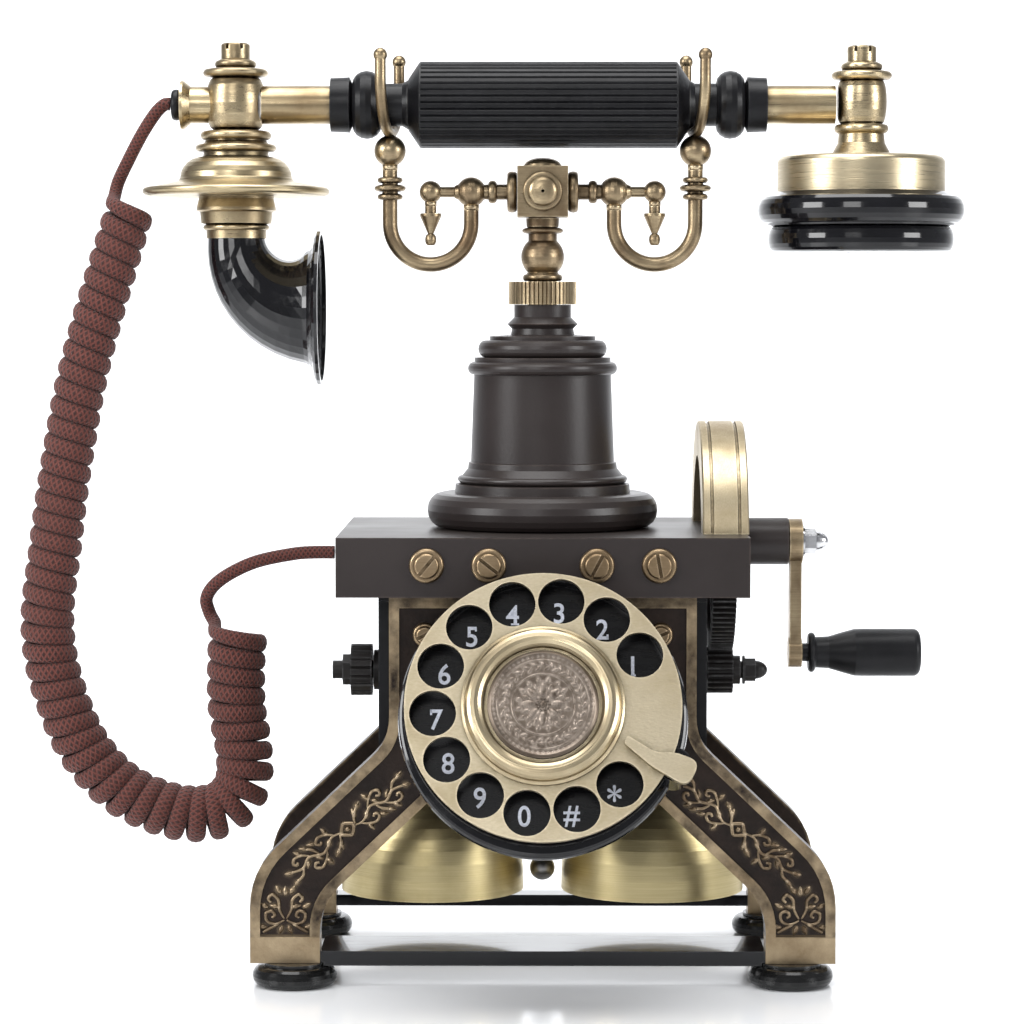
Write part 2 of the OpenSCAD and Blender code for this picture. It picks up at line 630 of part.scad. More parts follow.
disc_z = joint_low - 10.6;
module guard_disc() {
    top = joint_low - fit_gap;
    color(brass) at_handset() translate([-joint_span / 2, 0, 0]) difference() {
        turned(concat([[0, disc_z - 4.6], [disc_r - 1.4, disc_z - 4.6]],
            bulge(disc_r - 1.4, 1.4, disc_z - 4.5, disc_z - 1.7, 6),
            [[disc_r - 2.5, disc_z - 1.6], [21, disc_z + 0.2], [20, disc_z + 0.6], [19.6, disc_z + 1.4]],
            [for (i = [0:6]) let (a = 90 * i / 6) [11.6 + 7.8 * cos(a),
                disc_z + 1.6 + (top - disc_z - 3.2) * sin(a)]],
            [[11.4, top - 1.4], [11.2, top], [0, top]]));
        translate([0, 0, disc_z - 20]) cylinder(r = bolt_r + fit_gap, h = 60, $fn = 48);
    }
}
collar_low = disc_z - 19.4;
module mouth_collar() {
    top = disc_z - 4.6 - fit_gap;
    color(brass) at_handset() translate([-joint_span / 2, 0, 0]) difference() {
        turned(concat([[0, collar_low], [10.4, collar_low], [10.4, collar_low + 2.6]],
            bulge(10.4, 1.1, collar_low + 2.8, collar_low + 4.8),
            [[11, collar_low + 5], [12.2, collar_low + 5.2], [12.6, top - 5.6], [13.8, top - 5],
                [13.8, top - 4], [13, top - 1], [13, top], [0, top]]));
        translate([0, 0, collar_low - 1]) cylinder(r = horn_r - 1.6, h = 9, $fn = 96);
        translate([0, 0, collar_low]) cylinder(r = bolt_r + fit_gap, h = 40, $fn = 48);
    }
}

// The horn bends from pointing down to pointing along +X and widens into a bell.
horn_bend_r = 24;
horn_sides = 32;
horn_steps = 12;
horn_wall = 1.6;
horn_end_r = horn_bell_r * 0.72;
horn_top = collar_low - fit_gap;
// Bell stations after the bend: distance along X, share of the way from tube to rim.
bell_stations = [[1.5, 0.12], [2.8, 0.4], [3.6, 0.85], [4.4, 1], [5.6, 1]];
horn_stations = concat(
    [for (i = [0:horn_steps]) let (t = i / horn_steps) [90 * t, 0,
        horn_r + (horn_end_r - horn_r) * pow(t, 1.3)]],
    [for (b = bell_stations) [90, b[0], horn_end_r + (horn_bell_r - horn_end_r) * b[1]]]);
function horn_ring(station, thin) = let (a = station[0], r = station[2] - thin)
    [for (k = [0:horn_sides - 1]) let (b = 360 * k / horn_sides, out = horn_bend_r + r * cos(b))
        [horn_bend_r + station[1] - out * cos(a), r * sin(b), horn_top - out * sin(a)]];
// Faces of a tube whose rings lie one after the other in the point list, from point start.
function wrap(start, rings, sides, flip) = [for (i = [0:rings - 2], k = [0:sides - 1])
    let (a = start + i * sides + k, b = start + i * sides + (k + 1) % sides, c = b + sides, d = a + sides)
    each (flip ? [[a, d, c], [a, c, b]] : [[a, b, c], [a, c, d]])];
module mouth_horn() {
    rings = len(horn_stations);
    far = rings * horn_sides;
    last = far - horn_sides;
    color(black) at_handset() translate([-joint_span / 2, 0, 0]) polyhedron(
        points = concat([for (st = horn_stations) each horn_ring(st, 0)],
            [for (st = horn_stations) each horn_ring(st, horn_wall)]),
        faces = concat(wrap(0, rings, horn_sides, true), wrap(far, rings, horn_sides, false),
            [for (k = [0:horn_sides - 1]) let (n = (k + 1) % horn_sides) each [[k, n, far + n],
                [k, far + n, far + k]]],
            [for (k = [0:horn_sides - 1]) let (n = (k + 1) % horn_sides)
                each [[last + k, far + last + n, last + n], [last + k, far + last + k, far + last + n]]]));
}
module mic_capsule() {
    color(steel) at_handset() translate([-joint_span / 2, 0,
        collar_low + fit_gap]) cylinder(r = horn_r - 1.6 - 2 * fit_gap, h = 5, $fn = 64);
}

cup_top = joint_low - 0.8 - fit_gap;
cup_h = 13;
module ear_cup() {
    low = cup_top - cup_h;
    color(brass) at_handset() translate([joint_span / 2, 0, 0]) difference() {
        turned(concat([[0, low], [cup_r, low]], dome(cup_r, cup_top - 3, cup_top - 0.6, 3), [[0, cup_top]]));
        translate([0, 0, low - 1]) cylinder(r = cup_r - 2, h = cup_h - 2, $fn = 96);
        translate([0, 0, low]) cylinder(r = bolt_r + fit_gap, h = 40, $fn = 48);
    }
}
module ear_cap() {
    top = cup_top - cup_h - fit_gap;
    color(black) at_handset() translate([joint_span / 2, 0, 0]) difference() {
        turned(concat([[0, top - 20], [ear_r - 9, top - 20.4], [ear_r - 6, top - 20.8]],
            bulge(ear_r - 5.4, 1.8, top - 20.6, top - 12, 8),
            [[ear_r - 3.4, top - 11.6]], bulge(ear_r - 3.2, 3.2, top - 11, top - 1.4),
                [[ear_r - 6, top], [0, top]]));
        translate([0, 0, top - 17.5]) cylinder(r = cup_r - 3, h = 20, $fn = 96);
        for (ring = [[1, 0], [6, 6], [12, 12]]) for (i = [0:ring[0] - 1]) rotate(i * 360 / ring[0])
            translate([ring[1], 0, top - 24]) cylinder(r = 1.2, h = 10, $fn = 24);
    }
}
module ear_speaker() {
    color(steel) at_handset() translate([joint_span / 2, 0,
        cup_top - cup_h - 17]) cylinder(r = cup_r - 3.4, h = 14, $fn = 64);
}
module cord_grommet() {
    color(black) at_handset() translate([-joint_span / 2, 0, 0]) rotate([0, -90, 0]) difference() {
        turned(concat([[0, stub_l - 6], [2.9, stub_l - 6], [2.9, stub_l + fit_gap]],
            bulge(4.4, 1, stub_l + fit_gap, stub_l + 3.2), [[0, stub_l + 3.2]]));
        translate([0, 0, stub_l - 7]) cylinder(r = 1.4, h = 8, $fn = 32);
    }
}

// ---- Dial ----

// Moves a piece drawn on the dial's face, with +Z out of the dial and +Y up its face.
module at_dial() { placed() translate([0, -dial_front, dial_z]) rotate([90 - dial_tilt, 0, 0]) children(); }
rim_back = -16;
plate_depth = -7;
stop_r = wheel_r + 4.4;
spindle_r = 3;
module dial_housing() {
    face_y = -frame_y - frame_t / 2 - fit_gap;
    color(black) difference() {
        at_dial() difference() {
            union() {
                turned(concat([[0, -52], [35, -52], [35, rim_back - 7], [rim_r - 2.5, rim_back]],
                    bulge(rim_r - 1.4, 1.4, rim_back, rim_back + 6, 6),
                    [[rim_r - 3, rim_back + 6.4], [wheel_r + 0.6, plate_depth + 4.6],
                        [0, plate_depth + 4.6]]));
                rotate(stop_angle) translate([stop_r - 3, 0, rim_back + 3]) cylinder(r = 5.6, h = 12.6,
                    $fn = 48);
            }
            translate([0, 0, plate_depth - 1.5 - fit_gap]) cylinder(r = 43.5 + fit_gap, h = 20, $fn = 96);
            translate([0, 0, -60]) cylinder(r = 31, h = 60 + plate_depth - 4, $fn = 96);
            translate([0, 0, -20]) cylinder(r = spindle_r + play, h = 30, $fn = 48);
            rotate(stop_angle) translate([stop_r - 1, 0, -10]) cylinder(r = 1.5 + fit_gap, h = 20, $fn = 32);
        }
        placed() block([-80, face_y, -20], [80, 80, 200]);
        placed() block([-80, -box_front - gap, box_z - gap], [80, 80, 200]);
    }
}
module number_plate() {
    color(black) at_dial() difference() {
        translate([0, 0, plate_depth - 1.5]) cylinder(r = 43.5, h = 1.5, $fn = 96);
        translate([0, 0, -20]) cylinder(r = spindle_r + 1, h = 30, $fn = 48);
    }
}
module finger_stop() {
    over = wheel_t + gap;
    color(brass) at_dial() rotate(stop_angle) {
        translate([0, 0, over]) linear_extrude(1.8) polygon(eased([[29, -1.2, 1], [40, -4.6, 2],
            [stop_r + 4, -6.4, 4],
            [stop_r + 4.4, 3.2, 4], [stop_r - 5, 2.6, 3], [40, 0, 3], [29, 1.6, 1]]));
        translate([stop_r - 1, 0, over - 1.4 - gap - 6]) cylinder(r = 1.5, h = 6 + 1.4 + gap + 1, $fn = 32);
        translate([stop_r - 1, 0, -0.3]) cylinder(r = 2.6, h = over + 0.5, $fn = 32);
    }
}
module dial_switch() {
    color(steel) at_dial() difference() {
        translate([0, 0, plate_depth - 12]) cylinder(r = 22, h = 7, $fn = 64);
        translate([0, 0, -30]) cylinder(r = spindle_r + 1, h = 60, $fn = 48);
    }
}
module finger_wheel() {
    color(brass) at_dial() difference() {
        cylinder(r = wheel_r, h = wheel_t, $fn = 128);
        for (i = [0:hole_count - 1]) rotate(hole_start + i * hole_step) translate([hole_ring_r, 0,
            -1]) cylinder(r = hole_r, h = wheel_t + 2, $fn = 64);
        translate([0, 0, -1]) cylinder(r = 2 + fit_gap, h = 5, $fn = 48);
    }
}
module dial_boss() {
    color(brass) at_dial() translate([0, 0, wheel_t + fit_gap]) difference() {
        turned(concat([[0, 0], [boss_r, 0], [boss_r, 0.8], [boss_r - 0.8, 1.4]],
            [for (i = [0:8]) [medal_r + 4.3 + 3.2 * cos(180 * i / 8), 1.4 + 3 * sin(180 * i / 8)]],
                [[0, 1.4]]));
        translate([0, 0, 0.8]) cylinder(r = medal_r + fit_gap, h = 10, $fn = 96);
        translate([0, 0, -1]) cylinder(r = 2 + fit_gap, h = 5, $fn = 48);
    }
}
module dial_medallion() {
    color(brass) at_dial() translate([0, 0, wheel_t + 2 * fit_gap + 0.8]) difference() {
        turned(concat([[0, 0]], [[medal_r, 0], [medal_r, 1.2], [medal_r - 1, 1.8], [medal_r - 2, 1.3],
            [0, 1.3]]));
        translate([0, 0, -1]) cylinder(r = 2 + fit_gap, h = 2, $fn = 48);
    }
}
module dial_spindle() {
    color(steel) at_dial() {
        translate([0, 0, -30]) cylinder(r = spindle_r, h = 30 - fit_gap, $fn = 64);
        translate([0, 0, -1]) cylinder(r = 2, h = wheel_t + 2, $fn = 48);
        translate([0, 0, plate_depth - 16]) cylinder(r = 12, h = 2.5, $fn = 64);
    }
}

// ---- Ringer ----

post_r = 2;
gong_top = gong_z + gong_h;
module gongs() {
    // Points of the gong's dome, lying in by d from the outer face.
    function shell(d) = [for (i = [0:12]) let (a = 90 * i / 12)
        [(gong_r - d) * pow(cos(a), 0.55), gong_z + (gong_h - d) * pow(sin(a), 0.8)]];
    color(brass) placed() both_sides() translate([gong_x, 0, 0]) difference() {
        turned(concat([[0, gong_z]], shell(0)));
        turned(concat([[0, gong_z - 1], [gong_r - gong_t, gong_z - 1]], shell(gong_t)));
        translate([0, 0, gong_z]) cylinder(r = post_r + fit_gap, h = gong_h + 5, $fn = 48);
    }
}
module gong_posts() {
    color(steel) placed() both_sides() translate([gong_x, 0, 0]) {
        translate([0, 0, gong_top - 7]) cylinder(r = post_r, h = case_z + case_wall + 3 - gong_top + 7,
            $fn = 48);
        translate([0, 0, gong_top + fit_gap]) cylinder(r = 4.5, h = case_z - gong_top - 2 * fit_gap,
            $fn = 48);
        translate([0, 0, gong_top - gong_t - fit_gap - 3]) cylinder(r = 4, h = 3, $fn = 6);
        translate([0, 0, case_z + case_wall + fit_gap]) cylinder(r = 3.6, h = 2.6, $fn = 6);
    }
}
coil_x = 15;
pivot_z = case_z + 10;
striker_z = gong_z + 7;
module ringer_coils() {
    color("darkred") placed() both_sides() translate([coil_x, 0,
        case_z + case_wall + fit_gap]) cylinder(r = 6.6, h = 15, $fn = 48);
}
module ringer_yoke() {
    low = case_z + case_wall + 15 + 2 * fit_gap;
    color(steel) placed() {
        block([-coil_x - 6, -6, low], [coil_x + 6, 6, low + 2]);
        for (side = [-1, 1]) block([-3, side > 0 ? 5.8 : -7.8, case_z + case_wall + fit_gap],
            [3, side > 0 ? 7.8 : -5.8, low + 2]);
        translate([0, 0, pivot_z]) rod_y(1.2, -6.5, 6.5, 32);
    }
}
module striker() {
    color(steel) placed() {
        difference() {
            translate([0, 0, pivot_z]) rod_y(2.8, -4, 4, 48);
            translate([0, 0, pivot_z]) rod_y(1.2 + play, -5, 5, 32);
        }
        translate([0, 0, striker_z]) cylinder(r = 1.1, h = pivot_z - 2 - striker_z, $fn = 32);
        translate([0, 0, striker_z]) ball(striker_r);
        block([-5.5, -2.5, pivot_z + 2.2], [5.5, 2.5, pivot_z + 3.8]);
    }
}

// ---- Crank and gears ----

module at_crank() { placed() translate([0, 0, crank_z]) children(); }
// A spur gear about X with straight-sided teeth, from x0, of the given width.
module spur_gear(teeth, width) {
    pitch = gear_module * teeth / 2;
    root = pitch - 1.1 * gear_module;
    tip = pitch + 0.85 * gear_module;
    step = 360 / teeth;
    rotate([90, 0, 90]) linear_extrude(width) polygon([for (i = [0:teeth - 1]) let (a = i * step)
        each [root * [cos(a - step * 0.27), sin(a - step * 0.27)],
            tip * [cos(a - step * 0.12), sin(a - step * 0.12)],
              tip * [cos(a + step * 0.12), sin(a + step * 0.12)],
                  root * [cos(a + step * 0.27), sin(a + step * 0.27)]]]);
}
gear_hub_r = 8;
module drive_gear() {
    rim_in = gear_r - 6;
    color(black) at_crank() translate([gear_x - gear_w / 2, 0, 0]) difference() {
        rotate([-90, 0, 0]) spur_gear(gear_teeth, gear_w);
        difference() {
            rod_x(rim_in, -1, gear_w + 1, 96);
            rod_x(gear_hub_r, -2, gear_w + 2);
            for (i = [0:4]) rotate([i * 72, 0, 0]) block([-2, -2.6, 0], [gear_w + 2, 2.6, rim_in + 1]);
        }
        rod_x(shaft_r + fit_gap / 4, -1, gear_w + 1);
    }
}
module pinion() {
    // Half a tooth's turn brings a gap of the pinion against a tooth of the gear.
    color(black) placed() translate([gear_x - gear_w / 2 - 0.5, 0, pinion_z]) {
        difference() {
            union() {
                rotate([90 + 180 / pinion_teeth, 0, 0]) spur_gear(pinion_teeth, gear_w + 1);
                rod_x(5, gear_w, gear_w + 3.6);
            }
            rod_x(shaft_r + fit_gap / 4, -1, gear_w + 5);
        }
    }
}
module gear_guard() {
    outer_x0 = slot_x0 - 3;
    outer_x1 = slot_x1 + 2.6;
    inner_r = gear_r + gear_module + 0.9;
    color(brass) difference() {
        at_crank() difference() {
            rotate([0, 90, 0]) turned([[guard_r - 12, outer_x0], [guard_r - 0.6, outer_x0],
                [guard_r, outer_x0 + 0.5], [guard_r, outer_x0 + 2.6], [guard_r - 0.8, outer_x0 + 2.8],
                [guard_r - 0.8, outer_x0 + 3.6], [guard_r, outer_x0 + 3.8], [guard_r, outer_x1 - 3.8],
                    [guard_r - 0.8, outer_x1 - 3.6],
                [guard_r - 0.8, outer_x1 - 2.8], [guard_r, outer_x1 - 2.6], [guard_r, outer_x1 - 0.5],
                    [guard_r - 0.6, outer_x1], [guard_r - 12, outer_x1]]);
            rod_x(inner_r, slot_x0, slot_x1, 128);
        }
        placed() block([0, -100, -50], [100, 100, box_top + fit_gap]);
    }
}
bearing_x0 = box_w / 2 + fit_gap;
bearing_x1 = bearing_x0 + 16.5;
module crank_bearing() {
    color(bronze) at_crank() difference() {
        rod_x(boss_bearing_r, bearing_x0, bearing_x1);
        rod_x(shaft_r + play, bearing_x0 - 1, bearing_x1 + 1);
    }
}
module shaft_bracket() {
    x0 = slot_x0 - 6;
    color(steel) placed() difference() {
        block([x0, -8, box_z + box_wall + fit_gap], [x0 + 4, 8, box_top - box_wall - fit_gap]);
        translate([0, 0, crank_z]) rod_x(shaft_r + play, x0 - 1, x0 + 5);
    }
}
arm_x0 = bearing_x1 + gap;
arm_t = 4.6;
crank_pin_r = 2.2;
module crank_shaft() {
    color(steel) at_crank() {
        rod_x(shaft_r, slot_x0 - 7, arm_x0 + arm_t);
        translate([arm_x0 + arm_t, 0, 0]) cap_nut(4.4, 9);
    }
}
module crank_arm() {
    color(brass) at_crank() difference() {
        union() {
            rod_x(boss_bearing_r - 0.4, arm_x0, arm_x0 + arm_t);
            block([arm_x0 + 0.3, -4.2, -crank_throw], [arm_x0 + arm_t - 0.3, 4.2, 0]);
            translate([0, 0, -crank_throw]) rod_x(5.2, arm_x0, arm_x0 + arm_t);
            translate([0, 0, -crank_throw]) rod_x(crank_pin_r, arm_x0 + arm_t - 1,
                arm_x0 + arm_t + handle_l - 6);
        }
        rod_x(shaft_r + fit_gap / 4, arm_x0 - 1, arm_x0 + arm_t + 1);
    }
}
module crank_handle() {
    low = arm_x0 + arm_t + gap;
    color(black) at_crank() translate([0, 0, -crank_throw]) rotate([0, 90, 0]) difference() {
        turned(concat([[0, low]], [[3.2, low], [3.2, low + 1.8]],
            bulge(5.6, 1.4, low + 1.8, low + 4.4, 6), [[5.4, low + 4.6], [5.6, low + 9],
            [handle_r - 1.2, low + 14], [handle_r - 0.1, low + 18], [handle_r, low + 21]],
                dome(handle_r, low + handle_l - 2.4, low + handle_l, 2.4), [[0, low + handle_l]]));
        translate([0, 0, low - 1]) cylinder(r = crank_pin_r + play, h = handle_l - 4, $fn = 64);
    }
}
module side_knob() {
    // The magneto shaft runs through the case from the side knob to the pinion.
    x = -case_w / 2 - gap;
    color(black) placed() translate([0, 0, pinion_z]) {
        rod_x(shaft_r, x - 12, gear_x + gear_w / 2 + 4);
        rod_x(7, x - 3, x);
        difference() {
            rod_x(9, x - 11, x - 3.6);
            for (i = [0:17]) rotate([i * 20, 0, 0]) translate([x - 7, 0, 9.2]) rotate([45, 0,
                0]) cube([12, 1.2, 1.2], center = true);
        }
        rod_x(5.4, x - 14, x - 10.5, 6);
        rod_x(3.2, x - 17.5, x - 13);
        translate([gear_x + gear_w / 2 + 4, 0, 0]) cap_nut(4, 8.4);
    }
}

// ---- Cord ----

gland_r = 4.2;
gland_z = box_z + 11;
gland_x = -box_w / 2;
module cord_gland() {
    color(black) placed() translate([0, 0, gland_z]) difference() {
        union() {
            rod_x(gland_r, gland_x - 3, gland_x + box_wall + 2);
            rod_x(gland_r + 1.6, gland_x - 2, gland_x - fit_gap);
        }
        rod_x(1.4, gland_x - 1, gland_x + box_wall + 3);
    }
}
// Route points of the cord, counted from the tower's axis on the table. Its ends follow the
// handset and the box when their sizes change: rise, shift and side are 0 at the usual sizes.
lead_x = mouth_x - stub_l - 3.2 - fit_gap - 0.5;
rise = handset_z - 298.6;
shift = lead_x + 129.3;
lead_route = [[lead_x, handset_z + 0.3], [lead_x - 2.2, handset_z], [-134.8 + shift, 295.3 + rise],
    [-139.5 + 0.7 * shift, 288.3 + 0.9 * rise], [-143.6, 279 + 0.6 * rise], [-144.6, 272 + 0.3 * rise],
    [-143.3, 264]];
coil_route = [[-143.4, 263], [-149, 244.8], [-155.2, 224.5], [-161, 202.6], [-164.9, 182.2], [-168, 163.5],
    [-170.7, 143.2], [-173.3, 122.9], [-172.6, 107.3], [-168.6, 91.6], [-161.5, 75], [-150.1, 61.5],
        [-136.8, 54],
    [-122.7, 50.8], [-111, 53.5], [-105, 62.5], [-104.9, 74.4], [-107.2, 88.6], [-107.3, 104.1],
        [-106.6, 115]];
side = gland_x + 69;
base_route = [[-108.4, 117.8], [-113, 118.8], [-118, 121.5], [-119, 127], [-112.5 + 0.3 * side, 133.3],
    [-101 + 0.6 * side, 139.3], [-88 + side, 142.3], [-80 + side, 143], [-72.3 + side, 143]];
// Points of a smooth curve through a route, steps to each stretch.
function curve_point(a, b, c, d, t) = 0.5 * ((2 * b) + (c - a) * t +
    (2 * a - 5 * b + 4 * c - d) * t * t + (3 * b - a - 3 * c + d) * t * t * t);
function curve(route, steps) = let (n = len(route) - 1) concat([for (i = [0:n - 1], k = [0:steps - 1])
    curve_point(route[max(0, i - 1)], route[i], route[i + 1], route[min(n, i + 2)], k / steps)], [route[n]]);
// A round tube along a route in the plane of the handset, from radius start_r to end_r.
module cord_tube(route, start_r, end_r, sides, steps) {
    path = curve(route, steps);
    last = len(path) - 1;
    rings = [for (i = [0:last]) let (ahead = path[min(last, i + 1)] - path[max(0, i - 1)],
            run = ahead / norm(ahead), r = start_r + (end_r - start_r) * i / last)
        each [for (k = [0:sides - 1]) let (a = 360 * k / sides)
            [path[i].x - run.y * r * cos(a), r * sin(a), path[i].y + run.x * r * cos(a)]]];
    polyhedron(points = rings, faces = concat(wrap(0, last + 1, sides, false),
        [[for (k = [sides - 1:-1:0]) k]], [[for (k = [0:sides - 1]) last * sides + k]]));
}
module cord_lead_top() { color(cord_brown) placed() cord_tube(lead_route, cord_d / 2, cord_d / 2, 8, 2); }
module cord_coil() { color(cord_brown) placed() cord_tube(coil_route, coil_d / 2, coil_end_d / 2, 12, 2); }
module cord_lead_base() { color(cord_brown) placed() cord_tube(base_route, cord_d / 2, cord_d / 2, 8, 2); }

front_frame();
rear_frame();
base_rails();
foot_pads();
case_shell();
case_lid();
circuit_board();
top_box();
box_floor();
terminal_screws();
plate_screws();
tower();
knurled_collar();
hook_switch();
cradle_post();
cradle_spring();
cradle_arms();
cradle_hooks();
cradle_forks();
cradle_drops();
grip();
grip_ends();
arm_tube();
mouth_joint();
joint_nuts();
guard_disc();
mouth_collar();
mouth_horn();
mic_capsule();
ear_joint();
ear_cup();
ear_cap();
ear_speaker();
cord_grommet();
dial_housing();
number_plate();
finger_stop();
dial_switch();
finger_wheel();
dial_boss();
dial_medallion();
dial_spindle();
gongs();
gong_posts();
ringer_coils();
ringer_yoke();
striker();
gear_guard();
crank_bearing();
shaft_bracket();
crank_shaft();
drive_gear();
crank_arm();
crank_handle();
pinion();
side_knob();
cord_gland();
cord_lead_top();
cord_coil();
cord_lead_base();
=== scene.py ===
# %% [markdown]
# # A skeleton table telephone, from its CAD frame to its finish
# The metal and plastic parts arrive as finished CAD solids. This lesson adds what CAD leaves
# out: the curled cord, cast ornament, painted digits, and a real finish on every piece.

# %% Load the frame and remember its box
import math

import bmesh
import bpy
from mathutils import Matrix, Vector


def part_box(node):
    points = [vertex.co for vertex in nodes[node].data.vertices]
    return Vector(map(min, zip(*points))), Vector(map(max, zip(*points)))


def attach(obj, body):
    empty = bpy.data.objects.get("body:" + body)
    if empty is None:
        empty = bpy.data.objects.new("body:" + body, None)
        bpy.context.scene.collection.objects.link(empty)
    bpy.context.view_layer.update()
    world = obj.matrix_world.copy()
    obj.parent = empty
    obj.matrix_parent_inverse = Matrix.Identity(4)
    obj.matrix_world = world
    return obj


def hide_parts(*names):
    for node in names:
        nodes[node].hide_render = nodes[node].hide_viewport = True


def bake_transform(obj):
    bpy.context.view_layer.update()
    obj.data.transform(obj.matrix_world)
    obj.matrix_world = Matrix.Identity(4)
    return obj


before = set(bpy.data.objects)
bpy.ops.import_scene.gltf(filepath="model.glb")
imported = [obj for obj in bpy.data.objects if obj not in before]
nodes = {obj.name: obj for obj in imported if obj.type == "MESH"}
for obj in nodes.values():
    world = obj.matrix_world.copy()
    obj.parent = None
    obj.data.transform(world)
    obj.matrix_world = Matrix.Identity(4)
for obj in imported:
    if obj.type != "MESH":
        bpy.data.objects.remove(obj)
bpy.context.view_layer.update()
MM = 0.001
print("CAD nodes:", len(nodes))

# %% [markdown]
# Everything on the telephone is laid out from the tower's axis, so that is measured first.
# `at` turns millimetres counted from that axis into a point in the scene.

# %% The tower's axis
tower_low, tower_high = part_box("tower")
AXIS = Vector(((tower_low.x + tower_high.x) / 2, (tower_low.y + tower_high.y) / 2, 0))


def at(x, y, z):
    """A point x, y, z millimetres from where the tower's axis meets the table."""
    return AXIS + Vector((x, y, z)) * MM


def mid(node_name):
    """The middle of a CAD node's box."""
    low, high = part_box(node_name)
    return (low + high) / 2


print("tower axis:", [round(v, 4) for v in AXIS])

# %% [markdown]
# A product picture is taken from far off with a long lens, which keeps the uprights upright.
# The lens is level with the cradle and looks down a little to take in the feet.

# %% Camera
camera_data = bpy.data.cameras.new("camera")
camera = bpy.data.objects.new("camera", camera_data)
bpy.context.scene.collection.objects.link(camera)
LOOK_DOWN, LOOK_LEFT = 3.454, 0.375
camera.location = at(-3, -1169.1, 227.7)
camera.rotation_euler = (math.radians(90 - LOOK_DOWN), 0, math.radians(LOOK_LEFT))
camera_data.lens = 117.85
camera_data.sensor_width = 36
bpy.context.scene.camera = camera
print("camera at", [round(v, 3) for v in camera.location])


# %% [markdown]
# The floor sweeps up behind the telephone as one pale sheet, as in a studio. Four soft square
# lamps light it: one overhead, one at each side to draw long highlights on the brass, and a
# weak one in front. A fifth lights only the backdrop, so that it stays white.

# %% Stage and lamps
def new_mesh(name, verts, faces, smooth=True):
    """A mesh object from points and faces, linked to the scene."""
    mesh = bpy.data.meshes.new(name)
    mesh.from_pydata([tuple(v) for v in verts], [], faces)
    mesh.update()
    mesh.polygons.foreach_set("use_smooth", [smooth] * len(mesh.polygons))
    piece = bpy.data.objects.new(name, mesh)
    bpy.context.scene.collection.objects.link(piece)
    return piece


REACH, BEND_START, BEND_R, WALL_H = 9.0, 1.2, 0.8, 4.0


def sweep_floor():
    """A floor that curves up into a backdrop, drawn as a ribbon of cross-sections."""
    section = [(-REACH, 0.0), (BEND_START, 0.0)]
    section += [(BEND_START + BEND_R * math.sin(a), BEND_R - BEND_R * math.cos(a)) for a in
                [math.radians(10 * i) for i in range(1, 10)]]
    section += [(BEND_START + BEND_R, WALL_H)]
    verts = [(x, y, z) for y, z in section for x in (-REACH, REACH)]
    faces = [(2 * i, 2 * i + 1, 2 * i + 3, 2 * i + 2) for i in range(len(section) - 1)]
    return new_mesh("floor", verts, faces)


def lamp(name, place, aim, size, watts, colour=(1, 1, 1)):
    """A soft square lamp at place, aimed at a point."""
    data = bpy.data.lights.new(name, "AREA")
    data.size, data.energy, data.color = size, watts, colour
    light = bpy.data.objects.new(name, data)
    bpy.context.scene.collection.objects.link(light)
    light.location = place
    light.rotation_euler = (Vector(aim) - Vector(place)).to_track_quat("-Z", "Y").to_euler()


floor = sweep_floor()
target = at(0, 0, 150)
lamp("top_lamp", (-0.1, -0.1, 1.5), target, 1.1, 20)
lamp("left_lamp", (-1.4, -0.8, 0.7), target, 0.7, 16)
lamp("right_lamp", (1.4, -0.7, 0.55), target, 0.6, 11)
lamp("front_lamp", (-0.5, -2.2, 1.1), target, 0.8, 10)
lamp("backdrop_lamp", (0, 0.75, 1.3), (0, 1.9, 0.5), 1.6, 30)
world = bpy.data.worlds.new("studio")
bpy.context.scene.world = world
world.use_nodes = True
sky = world.node_tree.nodes["Background"].inputs
sky["Color"].default_value = (0.93, 0.95, 1.0, 1)
sky["Strength"].default_value = 0.3
bpy.context.scene.view_settings.view_transform = "Standard"

# %% [markdown]
# The cord is the only soft piece. It is a braided lead of 4.6 mm wound into a tight spring, so
# it is drawn as one tube: a short straight end, a helix wound round a slack curve, and a second
# straight end that goes into the box. Wound tight, the cord presses flat against its
# neighbours, so in the coil it is wider than it is deep.

# %% Route of the cord
CORD_D = 4.6
TURN_WIDTH, TURN_DEPTH = 6.5, 4.4
COIL_START_D, COIL_END_D = 17.5, 21
PITCH = 6.5
PER_TURN = 24
lead_route = [(-129.3, 0, 298.9), (-131.5, 0, 298.6), (-134.8, 0.3, 295.3), (-139.5, 1.5, 288.3),
              (-144.5, 4, 279.5), (-148.3, 6.4, 272.2)]
coil_route = [(-143.4, 263), (-149, 244.8), (-155.2, 224.5), (-161, 202.6), (-164.9, 182.2),
              (-168, 163.5), (-170.7, 143.2), (-173.3, 122.9), (-172.6, 107.3), (-168.6, 91.6),
              (-161.5, 75), (-150.1, 61.5), (-136.8, 54), (-122.7, 50.8), (-111, 53.5),
              (-105, 62.5), (-104.9, 74.4), (-107.2, 88.6), (-107.3, 104.1), (-106.6, 115)]
base_route = [(-117.3, 6.9, 121.3), (-118, 5.2, 127), (-112.7, 2, 133.3), (-101.3, 0, 139.3),
              (-88, 0, 142.3), (-80, 0, 143), (-72.3, 0, 143)]


def curve_through(route, steps):
    """Points of a smooth curve through a route."""
    out, last = [], len(route) - 1
    for i in range(last):
        a, b = Vector(route[max(0, i - 1)]), Vector(route[i])
        c, d = Vector(route[i + 1]), Vector(route[min(last, i + 2)])
        out += [0.5 * (2 * b + (c - a) * t + (2 * a - 5 * b + 4 * c - d) * t * t
                       + (3 * b - a - 3 * c + d) * t ** 3) for t in [k / steps for k in range(steps)]]
    return out + [Vector(route[-1])]


